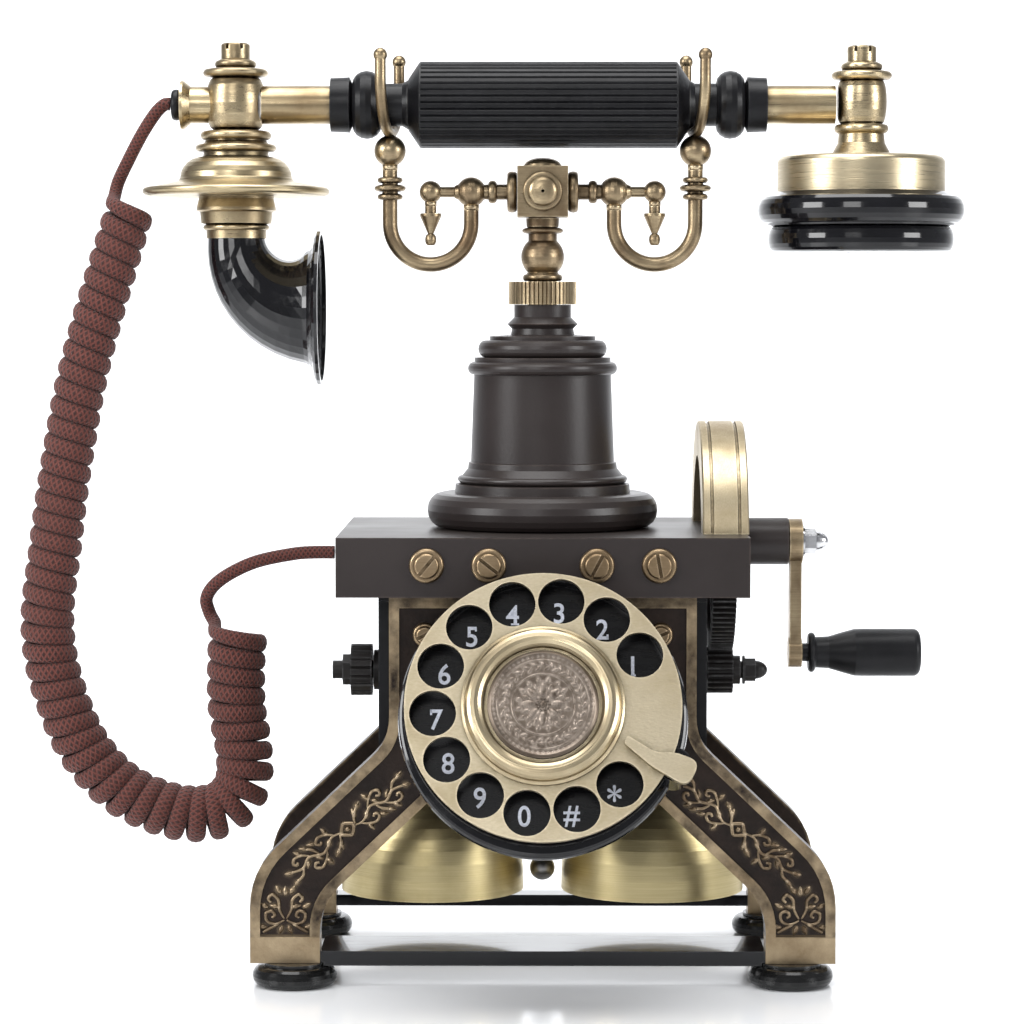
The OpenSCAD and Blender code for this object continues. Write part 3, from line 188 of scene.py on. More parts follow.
def even(points, step):
    """The same line with its points a fixed step apart."""
    out = [points[0]]
    for p in points[1:]:
        while (p - out[-1]).length > step:
            out.append(out[-1] + (p - out[-1]).normalized() * step)
    return out


def wound(line, start_d, end_d, turns):
    """A helix round a line, from its left side at the start, and the line's directions."""
    points, runs = [], []
    last = len(line) - 1
    for i, p in enumerate(line):
        run = (line[min(i + 1, last)] - line[max(i - 1, 0)]).normalized()
        angle = math.pi * (1 + 2 * turns * i / last)
        r = (start_d + (end_d - start_d) * i / last - TURN_DEPTH) / 2
        across = r * math.cos(angle)
        points.append(Vector((p.x - run.y * across, r * math.sin(angle), p.y + run.x * across)))
        runs.append(Vector((run.x, 0, run.y)))
    return points, runs


spine = even(curve_through(coil_route, 40), PITCH / PER_TURN)
TURNS = round((len(spine) - 1) / PER_TURN - 0.5) + 0.5
helix, helix_runs = wound(spine, COIL_START_D, COIL_END_D, TURNS)
# How far each point's section is pressed flat: from 0 at an end to 1 half a turn in.
pressed = [min(1, 2 * i / PER_TURN, 2 * (len(helix) - 1 - i) / PER_TURN)
           for i in range(len(helix))]
print("helix:", len(helix), "points in", TURNS, "turns")

# %% [markdown]
# The straight ends have to run into the helix without a kink. Each comes down behind the coil's
# left side and bends into the first turn over a quarter circle. A few points of the helix are
# added to the route, so that the curve arrives in the helix's own direction.

# %% Straight ends
SPACING = 0.8
GHOST = 3
STEPS = 20
lead_in = curve_through(lead_route + [helix[0] + Vector((0.2, 4.4, 2)), helix[0],
                                      helix[GHOST]], STEPS)
lead_in = even(lead_in[:-STEPS], SPACING)
lead_out = curve_through([helix[-1 - GHOST], helix[-1], helix[-1] + Vector((-0.3, 4.6, 2.2))]
                         + base_route, STEPS)
lead_out = even(lead_out[STEPS:], SPACING)
if (lead_in[-1] - helix[0]).length < SPACING / 2:
    lead_in.pop()
lead_out = lead_out[1:]
cord_line = lead_in + helix + lead_out
cord_pressed = [0] * len(lead_in) + pressed + [0] * len(lead_out)
cord_runs = [None] * len(lead_in) + helix_runs + [None] * len(lead_out)
cord_path = [at(*p) for p in cord_line]


# %% [markdown]
# A tube needs a direction square to its line at every ring. In the coil the wide side lies
# along the coil, so the coil's own direction serves. Elsewhere each ring takes its neighbour's
# direction and only tips it, because a tube that twists would twist its braid.

# %% Cord mesh
def runs_of(path):
    """The direction of a line at each of its points."""
    last = len(path) - 1
    return [(path[min(i + 1, last)] - path[max(i - 1, 0)]).normalized() for i in range(last + 1)]


def steady(path, wanted):
    """Directions square to a line: as wanted where given, and carried on from there."""
    runs = runs_of(path)
    known = [i for i, w in enumerate(wanted) if w]
    ups = list(wanted)
    order = list(range(known[0], len(path))) + list(range(known[0] - 1, -1, -1))
    for i in order:
        up = wanted[i] or ups[i - 1 if i > known[0] else i + 1]
        ups[i] = (up - runs[i] * up.dot(runs[i])).normalized()
    return ups


def tube(name, path, widths, depths, ups, sides=12):
    """A tube along a line, with a map that is millimetres along and turns round."""
    verts, faces, along = [], [], [0.0]
    for a, b in zip(path, path[1:]):
        along.append(along[-1] + (b - a).length / MM)
    runs = runs_of(path)
    for p, run, up, wide, deep in zip(path, runs, ups, widths, depths):
        side = run.cross(up)
        for k in range(sides):
            a = 2 * math.pi * k / sides
            verts.append(p + (up * math.cos(a) * wide + side * math.sin(a) * deep) / 2)
    last = len(path) - 1
    for i in range(last):
        for k in range(sides):
            n = (k + 1) % sides
            faces.append((i * sides + n, i * sides + k, (i + 1) * sides + k, (i + 1) * sides + n))
    faces += [tuple(range(sides)), tuple(last * sides + k for k in reversed(range(sides)))]
    piece = new_mesh(name, verts, faces)
    layer = piece.data.uv_layers.new(name="along")
    for face in list(piece.data.polygons)[:-2]:
        i, k = divmod(face.index, sides)
        for loop, (di, dk) in zip(face.loop_indices, ((0, 1), (0, 0), (1, 0), (1, 1))):
            layer.data[loop].uv = (along[i + di], (k + dk) / sides)
    return piece


widths = [(CORD_D + (TURN_WIDTH - CORD_D) * c) * MM for c in cord_pressed]
depths = [(CORD_D + (TURN_DEPTH - CORD_D) * c) * MM for c in cord_pressed]
cord_ups = steady(cord_path, [r if c > 0.4 else None for r, c in zip(cord_runs, cord_pressed)])
cord = tube("curled_cord", cord_path, widths, depths, cord_ups)
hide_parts("cord_lead_top", "cord_coil", "cord_lead_base")
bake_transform(cord)
print("cord rings:", len(cord_path))

# %% [markdown]
# ## Finishes
# Most finishes here share four effects: bright rubbed edges, grime and painted shade in corners,
# the fine lines that a lathe or a brush leaves, and slow changes of tone. Each one is a shader
# node group with named sockets, built once and then placed in every material that needs it.

# %% Helpers for shader nodes
def shader_group(name, inputs, outputs):
    """An empty node group with its sockets, and the nodes that stand for its two ends."""
    group = bpy.data.node_groups.new(name, "ShaderNodeTree")
    for label, kind, value in inputs:
        socket = group.interface.new_socket(label, in_out="INPUT", socket_type="NodeSocket" + kind)
        socket.default_value = value
    for label, kind in outputs:
        group.interface.new_socket(label, in_out="OUTPUT", socket_type="NodeSocket" + kind)
    return group, group.nodes.new("NodeGroupInput").outputs, group.nodes.new("NodeGroupOutput")


def add(tree, kind, values=None, **settings):
    """A shader node with its settings, and its sockets linked or given values."""
    made = tree.nodes.new("ShaderNode" + kind)
    for key, value in settings.items():
        setattr(made, key, value)
    for key, value in (values or {}).items():
        if isinstance(value, bpy.types.NodeSocket):
            tree.links.new(value, made.inputs[key])
        else:
            made.inputs[key].default_value = value
    return made


def maths(tree, operation, a, b=0.0, clamp=False):
    """A Math node's result."""
    return add(tree, "Math", {0: a, 1: b}, operation=operation, use_clamp=clamp).outputs[0]


def mixed(tree, factor, a, b):
    """Two colours mixed."""
    made = add(tree, "Mix", {"Factor": factor}, data_type="RGBA")
    for socket, value in ((made.inputs[6], a), (made.inputs[7], b)):
        if isinstance(value, bpy.types.NodeSocket):
            tree.links.new(value, socket)
        else:
            socket.default_value = (*value, 1)
    return made.outputs[2]


def ranged(tree, value, low, high, to_low=0.0, to_high=1.0):
    """A value moved from one range to another, and held inside it."""
    return add(tree, "MapRange", {"Value": value, "From Min": low, "From Max": high,
                                  "To Min": to_low, "To Max": to_high}).outputs[0]


def noise(tree, vector, scale, detail=3.0, rough=0.5):
    """Smooth noise, from 0 to 1."""
    return add(tree, "TexNoise", {"Vector": vector, "Scale": scale, "Detail": detail,
                                  "Roughness": rough}).outputs["Fac"]


# %% [markdown]
# Hands and cloths polish the corners of a part and leave dirt where they can't reach. An
# ambient occlusion node finds both: looking inwards it marks the convex edges, and looking
# outwards it marks the corners, where grime gathers and shade falls, so that mask paints shade
# as well as grime. Noise breaks up both masks, because wear is never even.

# %% Group: rubbed edges, and grime with painted shade
wear_and_shade, wear_and_shade_in, wear_and_shade_out = shader_group(
    "rub_grime_and_shade",
    [("Edge Width", "Float", 0.0008), ("Grime Reach", "Float", 0.004), ("Break Up", "Float", 400.0)],
    [("Rub", "Float"), ("Grime", "Float")])
place = add(wear_and_shade, "TexCoord").outputs["Object"]
inward = add(wear_and_shade, "AmbientOcclusion", {"Distance": wear_and_shade_in["Edge Width"]}, inside=True, samples=6)
outward = add(wear_and_shade, "AmbientOcclusion", {"Distance": wear_and_shade_in["Grime Reach"]}, samples=6)
uneven = noise(wear_and_shade, place, wear_and_shade_in["Break Up"], 4)
edge = ranged(wear_and_shade, inward.outputs["AO"], 0.95, 0.45)
wear_and_shade.links.new(maths(wear_and_shade, "MULTIPLY", edge, ranged(wear_and_shade, uneven, 0.3, 0.6), True),
               wear_and_shade_out.inputs["Rub"])
# Looking outwards, the mask darkens corners where shade falls: painted shade, along with the grime
# there.
corner = ranged(wear_and_shade, outward.outputs["AO"], 0.95, 0.35)
wear_and_shade.links.new(maths(wear_and_shade, "MULTIPLY", corner, ranged(wear_and_shade, uneven, 0.15, 0.55), True),
               wear_and_shade_out.inputs["Grime"])

# %% [markdown]
# A lathe leaves rings round its axis. The group moves the point into the axis's own frame and
# stretches noise round it, so one group serves the dial, the gongs, the gear guard and the
# cups. Folding space at a plane gives a mirrored pair, such as the gongs, an axis each. A
# second group draws straight lines for parts that were brushed along their length.

# %% Group: turned grain
turned, turned_in, turned_out = shader_group(
    "turned_grain",
    [("Centre", "Vector", (0, 0, 0)), ("Tilt", "Vector", (0, 0, 0)), ("Fineness", "Float", 2500.0),
     ("Fold X", "Float", -1.0)],
    [("Lines", "Float")])
spot = add(turned, "SeparateXYZ", {0: add(turned, "TexCoord").outputs["Object"]}).outputs
aside = maths(turned, "ABSOLUTE", maths(turned, "SUBTRACT", spot["X"], turned_in["Fold X"]))
place = add(turned, "CombineXYZ", {0: maths(turned, "ADD", aside, turned_in["Fold X"]),
                                   1: spot["Y"], 2: spot["Z"]}).outputs[0]
local = add(turned, "Mapping", {"Vector": place, "Location": turned_in["Centre"],
                                "Rotation": turned_in["Tilt"]}, vector_type="TEXTURE").outputs[0]
flat = add(turned, "VectorMath", {0: local, 1: (1, 1, 0)}, operation="MULTIPLY").outputs[0]
radius = add(turned, "VectorMath", {0: flat}, operation="LENGTH").outputs["Value"]
heading = add(turned, "VectorMath", {0: flat}, operation="NORMALIZE").outputs[0]
slow = add(turned, "VectorMath", {0: heading, 3: 1.5}, operation="SCALE").outputs[0]
deep = add(turned, "SeparateXYZ", {0: local}).outputs["Z"]
rings = add(turned, "CombineXYZ", {
    0: maths(turned, "MULTIPLY", radius, turned_in["Fineness"]),
    1: maths(turned, "MULTIPLY", deep, turned_in["Fineness"])}).outputs[0]
winding = add(turned, "VectorMath", {0: rings, 1: slow}, operation="ADD").outputs[0]
turned.links.new(noise(turned, winding, 1.0, 2), turned_out.inputs["Lines"])
print("turned grain:", len(turned.nodes), "nodes")

# %% Group: drawn grain
drawn, drawn_in, drawn_out = shader_group(
    "drawn_grain", [("Stretch", "Vector", (60, 2500, 2500))], [("Lines", "Float")])
place = add(drawn, "TexCoord").outputs["Object"]
along = add(drawn, "VectorMath", {0: place, 1: drawn_in["Stretch"]}, operation="MULTIPLY").outputs[0]
drawn.links.new(noise(drawn, along, 1.0, 3), drawn_out.inputs["Lines"])

# %% [markdown]
# Aged brass is light where it is handled and brown where it isn't. The patina group starts
# with two tones that drift into each other, darkens the corners with patina and painted shade,
# then brightens the edges.

# %% Group: patina
patina, patina_in, patina_out = shader_group(
    "patina",
    [("Light", "Color", (0.5, 0.4, 0.25, 1)), ("Dark", "Color", (0.1, 0.07, 0.04, 1)),
     ("Grime Tone", "Color", (0.02, 0.015, 0.01, 1)), ("Rubbed", "Color", (0.8, 0.7, 0.5, 1)),
     ("Drift", "Float", 30.0), ("Age", "Float", 0.5), ("Rub", "Float", 0.0),
     ("Grime", "Float", 0.0)],
    [("Colour", "Color"), ("Aged", "Float")])
place = add(patina, "TexCoord").outputs["Object"]
drift = noise(patina, place, patina_in["Drift"], 5, 0.6)
aged = ranged(patina, maths(patina, "ADD", drift, maths(patina, "SUBTRACT", patina_in["Age"], 0.5)),
              0.35, 0.7)
tone = mixed(patina, aged, patina_in["Light"], patina_in["Dark"])
# Corners darken toward the grime tone: patina, and painted shade.
tone = mixed(patina, patina_in["Grime"], tone, patina_in["Grime Tone"])
tone = mixed(patina, patina_in["Rub"], tone, patina_in["Rubbed"])
patina.links.new(tone, patina_out.inputs["Colour"])
patina.links.new(aged, patina_out.inputs["Aged"])
print("groups:", [g.name for g in bpy.data.node_groups])

# %% [markdown]
# Every material below is a Principled shader fed by those groups. `finish` makes the shader
# and sets what is the same all over. `bumped` turns a height into a surface normal.

# %% Helpers for materials
def finish(name, **values):
    """A material with a Principled shader, and its node tree and shader."""
    material = bpy.data.materials.new(name)
    material.use_nodes = True
    tree = material.node_tree
    shader = tree.nodes["Principled BSDF"]
    for key, value in values.items():
        shader.inputs[key.replace("_", " ")].default_value = value
    return material, tree, shader


def grouped(tree, group, **values):
    """A shader group placed in a material, with its own values."""
    made = tree.nodes.new("ShaderNodeGroup")
    made.node_tree = group
    for key, value in values.items():
        socket = made.inputs[key.replace("_", " ")]
        if isinstance(value, bpy.types.NodeSocket):
            tree.links.new(value, socket)
        else:
            socket.default_value = (*value, 1) if socket.type == "RGBA" else value
    return made.outputs


def bumped(tree, shader, height, distance, strength=1.0):
    """Feeds a height, in metres times distance, to the shader's normal."""
    bump = add(tree, "Bump", {"Height": height, "Distance": distance, "Strength": strength})
    tree.links.new(bump.outputs[0], shader.inputs["Normal"])


def paint(material, *pieces):
    """Gives one material to CAD nodes by name, or to pieces."""
    for piece in pieces:
        mesh = (nodes[piece] if isinstance(piece, str) else piece).data
        mesh.materials.clear()
        mesh.materials.append(material)


# %% [markdown]
# The brass is brushed or turned, then lacquered with brown left in the grooves. All brass parts
# come from one function. They differ in tone, in age, and in how their grain runs.

# %% Brass
def brass(name, light, dark, age, rough=0.3, centre=None, tilt=(0, 0, 0), stretch=(60, 2500, 2500),
          edge=0.0006, depth=0.00004, grime_and_shade=0.003, fold=-1.0):
    """Aged brass, with rings round an axis if it has a centre, or lines if it hasn't."""
    material, tree, shader = finish(name, Metallic=1.0)
    masks = grouped(tree, wear_and_shade, Edge_Width=edge, Grime_Reach=grime_and_shade)
    if centre is None:
        lines = grouped(tree, drawn, Stretch=stretch)["Lines"]
    else:
        lines = grouped(tree, turned, Centre=centre, Tilt=tilt, Fold_X=fold)["Lines"]
    # The corners take a darker tone from the occlusion mask: patina there, and painted shade.
    colours = grouped(tree, patina, Light=light, Dark=dark, Age=age,
                      Rubbed=[min(1, 1.35 * c + 0.05) for c in light],
                      Grime_Tone=[0.25 * c for c in dark], Drift=45.0,
                      Rub=masks["Rub"], Grime=masks["Grime"])
    shade = mixed(tree, ranged(tree, lines, 0.35, 0.7, 0.0, 0.3), colours["Colour"], dark)
    tree.links.new(shade, shader.inputs["Base Color"])
    worn = maths(tree, "ADD", ranged(tree, lines, 0.3, 0.7, rough - 0.06, rough + 0.1),
                 maths(tree, "MULTIPLY", colours["Aged"], 0.1))
    tree.links.new(worn, shader.inputs["Roughness"])
    bumped(tree, shader, lines, depth)
    return material


PALE, BROWN = (0.62, 0.53, 0.36), (0.27, 0.2, 0.115)
DIAL_TILT = (math.radians(68), 0, 0)
dial_centre = at(0, -90, 99.3)
handset_brass = brass("handset_brass", (0.56, 0.46, 0.29), BROWN, 0.5, 0.27)
disc_brass = brass("disc_brass", (0.52, 0.43, 0.27), (0.3, 0.23, 0.13), 0.35, 0.3,
                   centre=mid("guard_disc"))
cup_brass = brass("cup_brass", PALE, (0.42, 0.33, 0.2), 0.3, 0.3, centre=mid("ear_cup"))
cradle_brass = brass("cradle_brass", (0.5, 0.4, 0.25), (0.16, 0.11, 0.065), 0.55, 0.3, grime_and_shade=0.005)
wheel_brass = brass("wheel_brass", (0.6, 0.52, 0.37), (0.38, 0.31, 0.19), 0.45, 0.36,
                    stretch=(700, 2600, 1400), edge=0.0008)
ring_brass = brass("ring_brass", (0.56, 0.47, 0.31), (0.33, 0.26, 0.16), 0.45, 0.3,
                   centre=dial_centre, tilt=DIAL_TILT)
gong_brass = brass("gong_brass", (0.63, 0.53, 0.29), (0.45, 0.36, 0.17), 0.35, 0.36,
                   centre=at(38.5, 0, 40), fold=AXIS.x)
guard_brass = brass("guard_brass", PALE, (0.36, 0.28, 0.17), 0.45, 0.34, centre=mid("gear_guard"),
                    tilt=(0, math.radians(90), 0))
screw_brass = brass("screw_brass", (0.42, 0.31, 0.19), (0.2, 0.14, 0.08), 0.5, 0.32)
paint(handset_brass, "arm_tube", "mouth_joint", "ear_joint", "joint_nuts", "mouth_collar")
paint(disc_brass, "guard_disc")
paint(cup_brass, "ear_cup")
paint(cradle_brass, "cradle_post", "cradle_arms", "cradle_hooks", "cradle_forks", "cradle_drops",
      "knurled_collar", "crank_arm")
paint(wheel_brass, "finger_wheel", "finger_stop")
paint(ring_brass, "dial_boss")
paint(gong_brass, "gongs")
paint(guard_brass, "gear_guard")
paint(screw_brass, "terminal_screws", "plate_screws")

# %% [markdown]
# The box and the tower are cast, filled and sprayed with a thick brown-black lacquer. It has a
# fine orange-peel skin, it is a little lighter and warmer where it is rubbed on edges, and dust
# dulls the tops.

# %% Lacquer on the box and the tower
def lacquer(name, colour, rubbed, rough=0.34, peel=0.00003, scale=900.0, dust=0.0):
    """Sprayed lacquer with a fine skin, rubbed edges and a little dust on what faces up."""
    material, tree, shader = finish(name, Specular_IOR_Level=0.35)
    masks = grouped(tree, wear_and_shade, Edge_Width=0.0007, Grime_Reach=0.004)
    place = add(tree, "TexCoord").outputs["Object"]
    cloud = noise(tree, place, 25, 4)
    tone = mixed(tree, ranged(tree, cloud, 0.35, 0.65), colour, [1.25 * c for c in colour])
    up = add(tree, "SeparateXYZ", {0: add(tree, "NewGeometry").outputs["Normal"]}).outputs["Z"]
    dusty = maths(tree, "MULTIPLY", ranged(tree, up, 0.3, 1.0, 0.0, dust),
                  ranged(tree, noise(tree, place, 180, 5), 0.3, 0.7, 0.5, 1.0))
    tone = mixed(tree, dusty, tone, (0.3, 0.27, 0.24))
    tone = mixed(tree, maths(tree, "MULTIPLY", masks["Rub"], 0.55), tone, rubbed)
    tree.links.new(tone, shader.inputs["Base Color"])
    skin = noise(tree, place, scale, 2)
    tree.links.new(ranged(tree, cloud, 0.3, 0.7, rough - 0.04, rough + 0.06),
                   shader.inputs["Roughness"])
    bumped(tree, shader, skin, peel)
    return material


box_lacquer = lacquer("box_lacquer", (0.024, 0.0185, 0.0175), (0.12, 0.09, 0.075), 0.36, dust=0.06)
tower_lacquer = lacquer("tower_lacquer", (0.025, 0.0195, 0.0185), (0.13, 0.1, 0.085), 0.33,
                        dust=0.05)
paint(box_lacquer, "top_box", "box_floor", "crank_bearing")
paint(tower_lacquer, "tower")

# %% [markdown]
# Black parts differ in their moulding: the horn, ear cap and feet are polished phenolic with
# faint swirls, and the grip, bulbs and gears are satin. Both start from one function whose
# coat and skin are turned up or down.

# %% Black mouldings
def moulding(name, colour, rough, skin, coat=0.0, scale=1200.0, rubbed=0.05):
    """Black plastic or enamel: swirls of tone, hairline scuffs in the roughness, a fine skin."""
    material, tree, shader = finish(name, Coat_Weight=coat, Coat_Roughness=0.04,
                                    Specular_IOR_Level=0.25)
    masks = grouped(tree, wear_and_shade, Edge_Width=0.0006, Grime_Reach=0.003)
    place = add(tree, "TexCoord").outputs["Object"]
    swirl = noise(tree, place, 60, 6, 0.65)
    tone = mixed(tree, ranged(tree, swirl, 0.4, 0.7), colour, [1.8 * c for c in colour])
    tone = mixed(tree, masks["Rub"], tone, (rubbed, rubbed, rubbed))
    tree.links.new(tone, shader.inputs["Base Color"])
    scuff = noise(tree, add(tree, "VectorMath", {0: place, 1: (90, 900, 300)},
                            operation="MULTIPLY").outputs[0], 1.0, 4)
    tree.links.new(ranged(tree, scuff, 0.4, 0.75, rough, rough + 0.12), shader.inputs["Roughness"])
    bumped(tree, shader, noise(tree, place, scale, 2), skin)
    return material


polished = moulding("polished_black", (0.0035, 0.0035, 0.0045), 0.09, 0.000004, coat=0.5)
enamel = moulding("plate_enamel", (0.003, 0.003, 0.0035), 0.25, 0.00001)
satin = moulding("satin_black", (0.005, 0.005, 0.006), 0.34, 0.00003)
gear_black = moulding("gear_black", (0.012, 0.0105, 0.01), 0.38, 0.00004, rubbed=0.1)
rubber = moulding("foot_rubber", (0.004, 0.004, 0.004), 0.2, 0.00002, coat=0.3, scale=700)
paint(polished, "mouth_horn", "ear_cap", "base_rails", "dial_housing")
paint(enamel, "number_plate")
paint(satin, "grip", "grip_ends", "crank_handle", "case_shell", "case_lid", "cord_grommet",
      "cord_gland")
paint(gear_black, "drive_gear", "pinion", "side_knob")
paint(rubber, "foot_pads")

# %% [markdown]
# What is left is hidden or small: steel shafts and springs, copper coils, a circuit board.
# They still get their own make-up, since the arches and the horn's mouth let a viewer look in.

# %% Steel, copper and the circuit board
def steel(name, colour, rough):
    """Bright drawn steel or chrome, with faint lines, and grime and painted shade in its corners."""
    material, tree, shader = finish(name, Metallic=1.0)
    masks = grouped(tree, wear_and_shade, Edge_Width=0.0004, Grime_Reach=0.002)
    lines = grouped(tree, drawn, Stretch=(300, 300, 4000))["Lines"]
    # Corners darkened by the occlusion mask: grime, and painted shade.
    tone = mixed(tree, masks["Grime"], colour, [0.3 * c for c in colour])
    tree.links.new(tone, shader.inputs["Base Color"])
    tree.links.new(ranged(tree, lines, 0.3, 0.7, rough, rough + 0.12), shader.inputs["Roughness"])
    bumped(tree, shader, lines, 0.00001)
    return material


def wound_copper():
    """Enamelled wire in even turns, each turn a ridge, with painted shade darkening the valleys
    between them.
    """
    material, tree, shader = finish("wound_copper", Metallic=0.8)
    place = add(tree, "TexCoord").outputs["Object"]
    turns = add(tree, "TexWave", {"Vector": place, "Scale": 330.0, "Distortion": 0.4},
                bands_direction="Z").outputs["Fac"]
    # Painted shade: the valleys between turns take the dark colour, the ridges the bright copper.
    tone = mixed(tree, turns, (0.16, 0.04, 0.015), (0.62, 0.24, 0.1))
    tree.links.new(tone, shader.inputs["Base Color"])
    tree.links.new(ranged(tree, turns, 0, 1, 0.5, 0.3), shader.inputs["Roughness"])
    bumped(tree, shader, turns, 0.0003)
    return material


def board_green():
    """Solder resist over copper tracks: square-cornered tracks show through as lighter green."""
    material, tree, shader = finish("board_green", Roughness=0.35)
    place = add(tree, "TexCoord").outputs["Object"]
    tracks = add(tree, "TexBrick", {"Vector": place, "Scale": 160.0, "Mortar Size": 0.05})
    tone = mixed(tree, tracks.outputs["Fac"], (0.01, 0.09, 0.03), (0.03, 0.2, 0.07))
    speck = ranged(tree, noise(tree, place, 900, 4), 0.55, 0.7)
    tree.links.new(mixed(tree, speck, tone, (0.02, 0.13, 0.045)), shader.inputs["Base Color"])
    bumped(tree, shader, tracks.outputs["Fac"], 0.00005)
    return material


chrome = steel("chrome", (0.75, 0.75, 0.76), 0.12)
dull_steel = steel("dull_steel", (0.42, 0.41, 0.4), 0.3)
paint(chrome, "crank_shaft", "gong_posts", "dial_spindle", "cradle_spring")
paint(dull_steel, "ringer_yoke", "striker", "shaft_bracket", "hook_switch", "dial_switch",
      "mic_capsule", "ear_speaker")
paint(wound_copper(), "ringer_coils")
paint(board_green(), "circuit_board")

# %% [markdown]
# The legs are cast, blackened, and then buffed by hand: the raised border and the ornament come
# up as warm brass while the sunk panel stays dark. The panel lies a little behind the border,
# so depth alone tells the two apart, and the same height picks out the plain foot block.

# %% Cast legs
def cast_legs(name, face_y, panel_y, toward):
    """Blackened casting with its raised border buffed to brass, told apart by depth in Y."""
    material, tree, shader = finish(name)
    masks = grouped(tree, wear_and_shade, Edge_Width=0.0012, Grime_Reach=0.005, Break_Up=250.0)
    place = add(tree, "TexCoord").outputs["Object"]
    spot = add(tree, "SeparateXYZ", {0: place}).outputs
    middle = (face_y + panel_y) / 2
    off = maths(tree, "MULTIPLY", maths(tree, "SUBTRACT", spot["Y"], middle), toward * 1000.0)
    raised = ranged(tree, off, 0.0, 0.25)
    buffing = ranged(tree, noise(tree, place, 90, 5, 0.6), 0.3, 0.62)
    facing = add(tree, "SeparateXYZ", {0: add(tree, "NewGeometry").outputs["Normal"]}).outputs["Y"]
    flat = ranged(tree, maths(tree, "MULTIPLY", facing, toward), 0.6, 0.95)
    border = maths(tree, "MULTIPLY", maths(tree, "MULTIPLY", raised, flat), buffing)
    foot = ranged(tree, spot["Z"], 0.0178, 0.0165)
    bright = maths(tree, "MAXIMUM", maths(tree, "MAXIMUM", border, foot), masks["Rub"])
    # The buffed brass dims in corners by the occlusion mask: unbuffed grime there, and painted shade.
    bright = maths(tree, "MULTIPLY", bright, ranged(tree, masks["Grime"], 0, 1, 1, 0.55))
    cloud = noise(tree, place, 70, 6, 0.65)
    dark = mixed(tree, ranged(tree, cloud, 0.3, 0.7), (0.009, 0.0055, 0.0042), (0.03, 0.018, 0.013))
    warm = mixed(tree, ranged(tree, cloud, 0.35, 0.65), (0.3, 0.22, 0.13), (0.5, 0.39, 0.25))
    tree.links.new(mixed(tree, bright, dark, warm), shader.inputs["Base Color"])
    tree.links.new(ranged(tree, bright, 0, 1, 0.55, 0.95), shader.inputs["Metallic"])
    tree.links.new(ranged(tree, cloud, 0.3, 0.7, 0.3, 0.46), shader.inputs["Roughness"])
    pores = maths(tree, "ADD", noise(tree, place, 700, 4), maths(tree, "MULTIPLY", cloud, 2.0))
    bumped(tree, shader, pores, 0.00012)
    return material


PANEL_SINK = 1.2 * MM
front_low, front_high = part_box("front_frame")
rear_low, rear_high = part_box("rear_frame")
front_legs = cast_legs("front_legs", front_low.y, front_low.y + PANEL_SINK, -1)
rear_legs = cast_legs("rear_legs", rear_high.y, rear_high.y - PANEL_SINK, 1)
paint(front_legs, "front_frame")
paint(rear_legs, "rear_frame")

# %% [markdown]
# The cord is braided over its core: strands cross at a slant both ways round it. The tube's own
# map gives millimetres along and turns round, so two families of slanted stripes make the
# weave. Where one passes over the other it stands higher and is lighter, and the hollows
# between strands are painted dark as shade.

# %% Braid
STRANDS_ROUND, STRANDS_PER_MM = 6.0, 0.62


def braid():
    """Red-brown yarn plaited round the cord in two slants."""
    material, tree, shader = finish("braid", Roughness=0.8, Sheen_Weight=0.12,
                                    Sheen_Roughness=0.5)
    run = add(tree, "SeparateXYZ", {0: add(tree, "UVMap", uv_map="along").outputs[0]}).outputs
    turns = maths(tree, "MULTIPLY", run["Y"], STRANDS_ROUND)
    travel = maths(tree, "MULTIPLY", run["X"], STRANDS_PER_MM)
    right, left = [maths(tree, "SINE", maths(tree, "MULTIPLY", maths(tree, way, travel, turns),
                                             math.tau)) for way in ("ADD", "SUBTRACT")]
    weave = maths(tree, "MAXIMUM", right, left)
    height = ranged(tree, weave, -0.4, 1.0)
    place = add(tree, "TexCoord").outputs["Object"]
    fuzz = noise(tree, place, 2600, 3)
    yarn = maths(tree, "ADD", height, maths(tree, "MULTIPLY", fuzz, 0.5))
    # Painted shade: the low parts of the weave get the near-black colour, the raised strands the
    # red-brown.
    tone = mixed(tree, ranged(tree, yarn, 0.1, 1.3), (0.012, 0.0032, 0.0025), (0.15, 0.036, 0.025))
    worn = ranged(tree, noise(tree, place, 40, 3), 0.35, 0.7, 0.0, 0.35)
    tree.links.new(mixed(tree, worn, tone, (0.1, 0.03, 0.022)), shader.inputs["Base Color"])
    bumped(tree, shader, yarn, 0.0003)
    return material


paint(braid(), cord)

# %% [markdown]
# The floor is a glossy white sheet with a faint drift of tone, so that the feet leave a soft
# reflection on it.

# %% Floor
floor_paint, floor_tree, floor_shader = finish("floor_white", Roughness=0.16, Coat_Weight=0.1)
floor_cloud = noise(floor_tree, add(floor_tree, "TexCoord").outputs["Object"], 3, 2)
floor_tree.links.new(mixed(floor_tree, floor_cloud, (0.86, 0.87, 0.89), (0.9, 0.91, 0.92)),
                     floor_shader.inputs["Base Color"])
paint(floor_paint, floor)

# %% [markdown]
# ## Ornament
# Cast ornament is built as geometry, since a bump alone would vanish from the side. Two small
# makers do all of it: `strand` draws a tapered stem along a line, and `bud` sets a pointed leaf
# or a bead. Both add to one mesh, so a whole vine is a single piece.

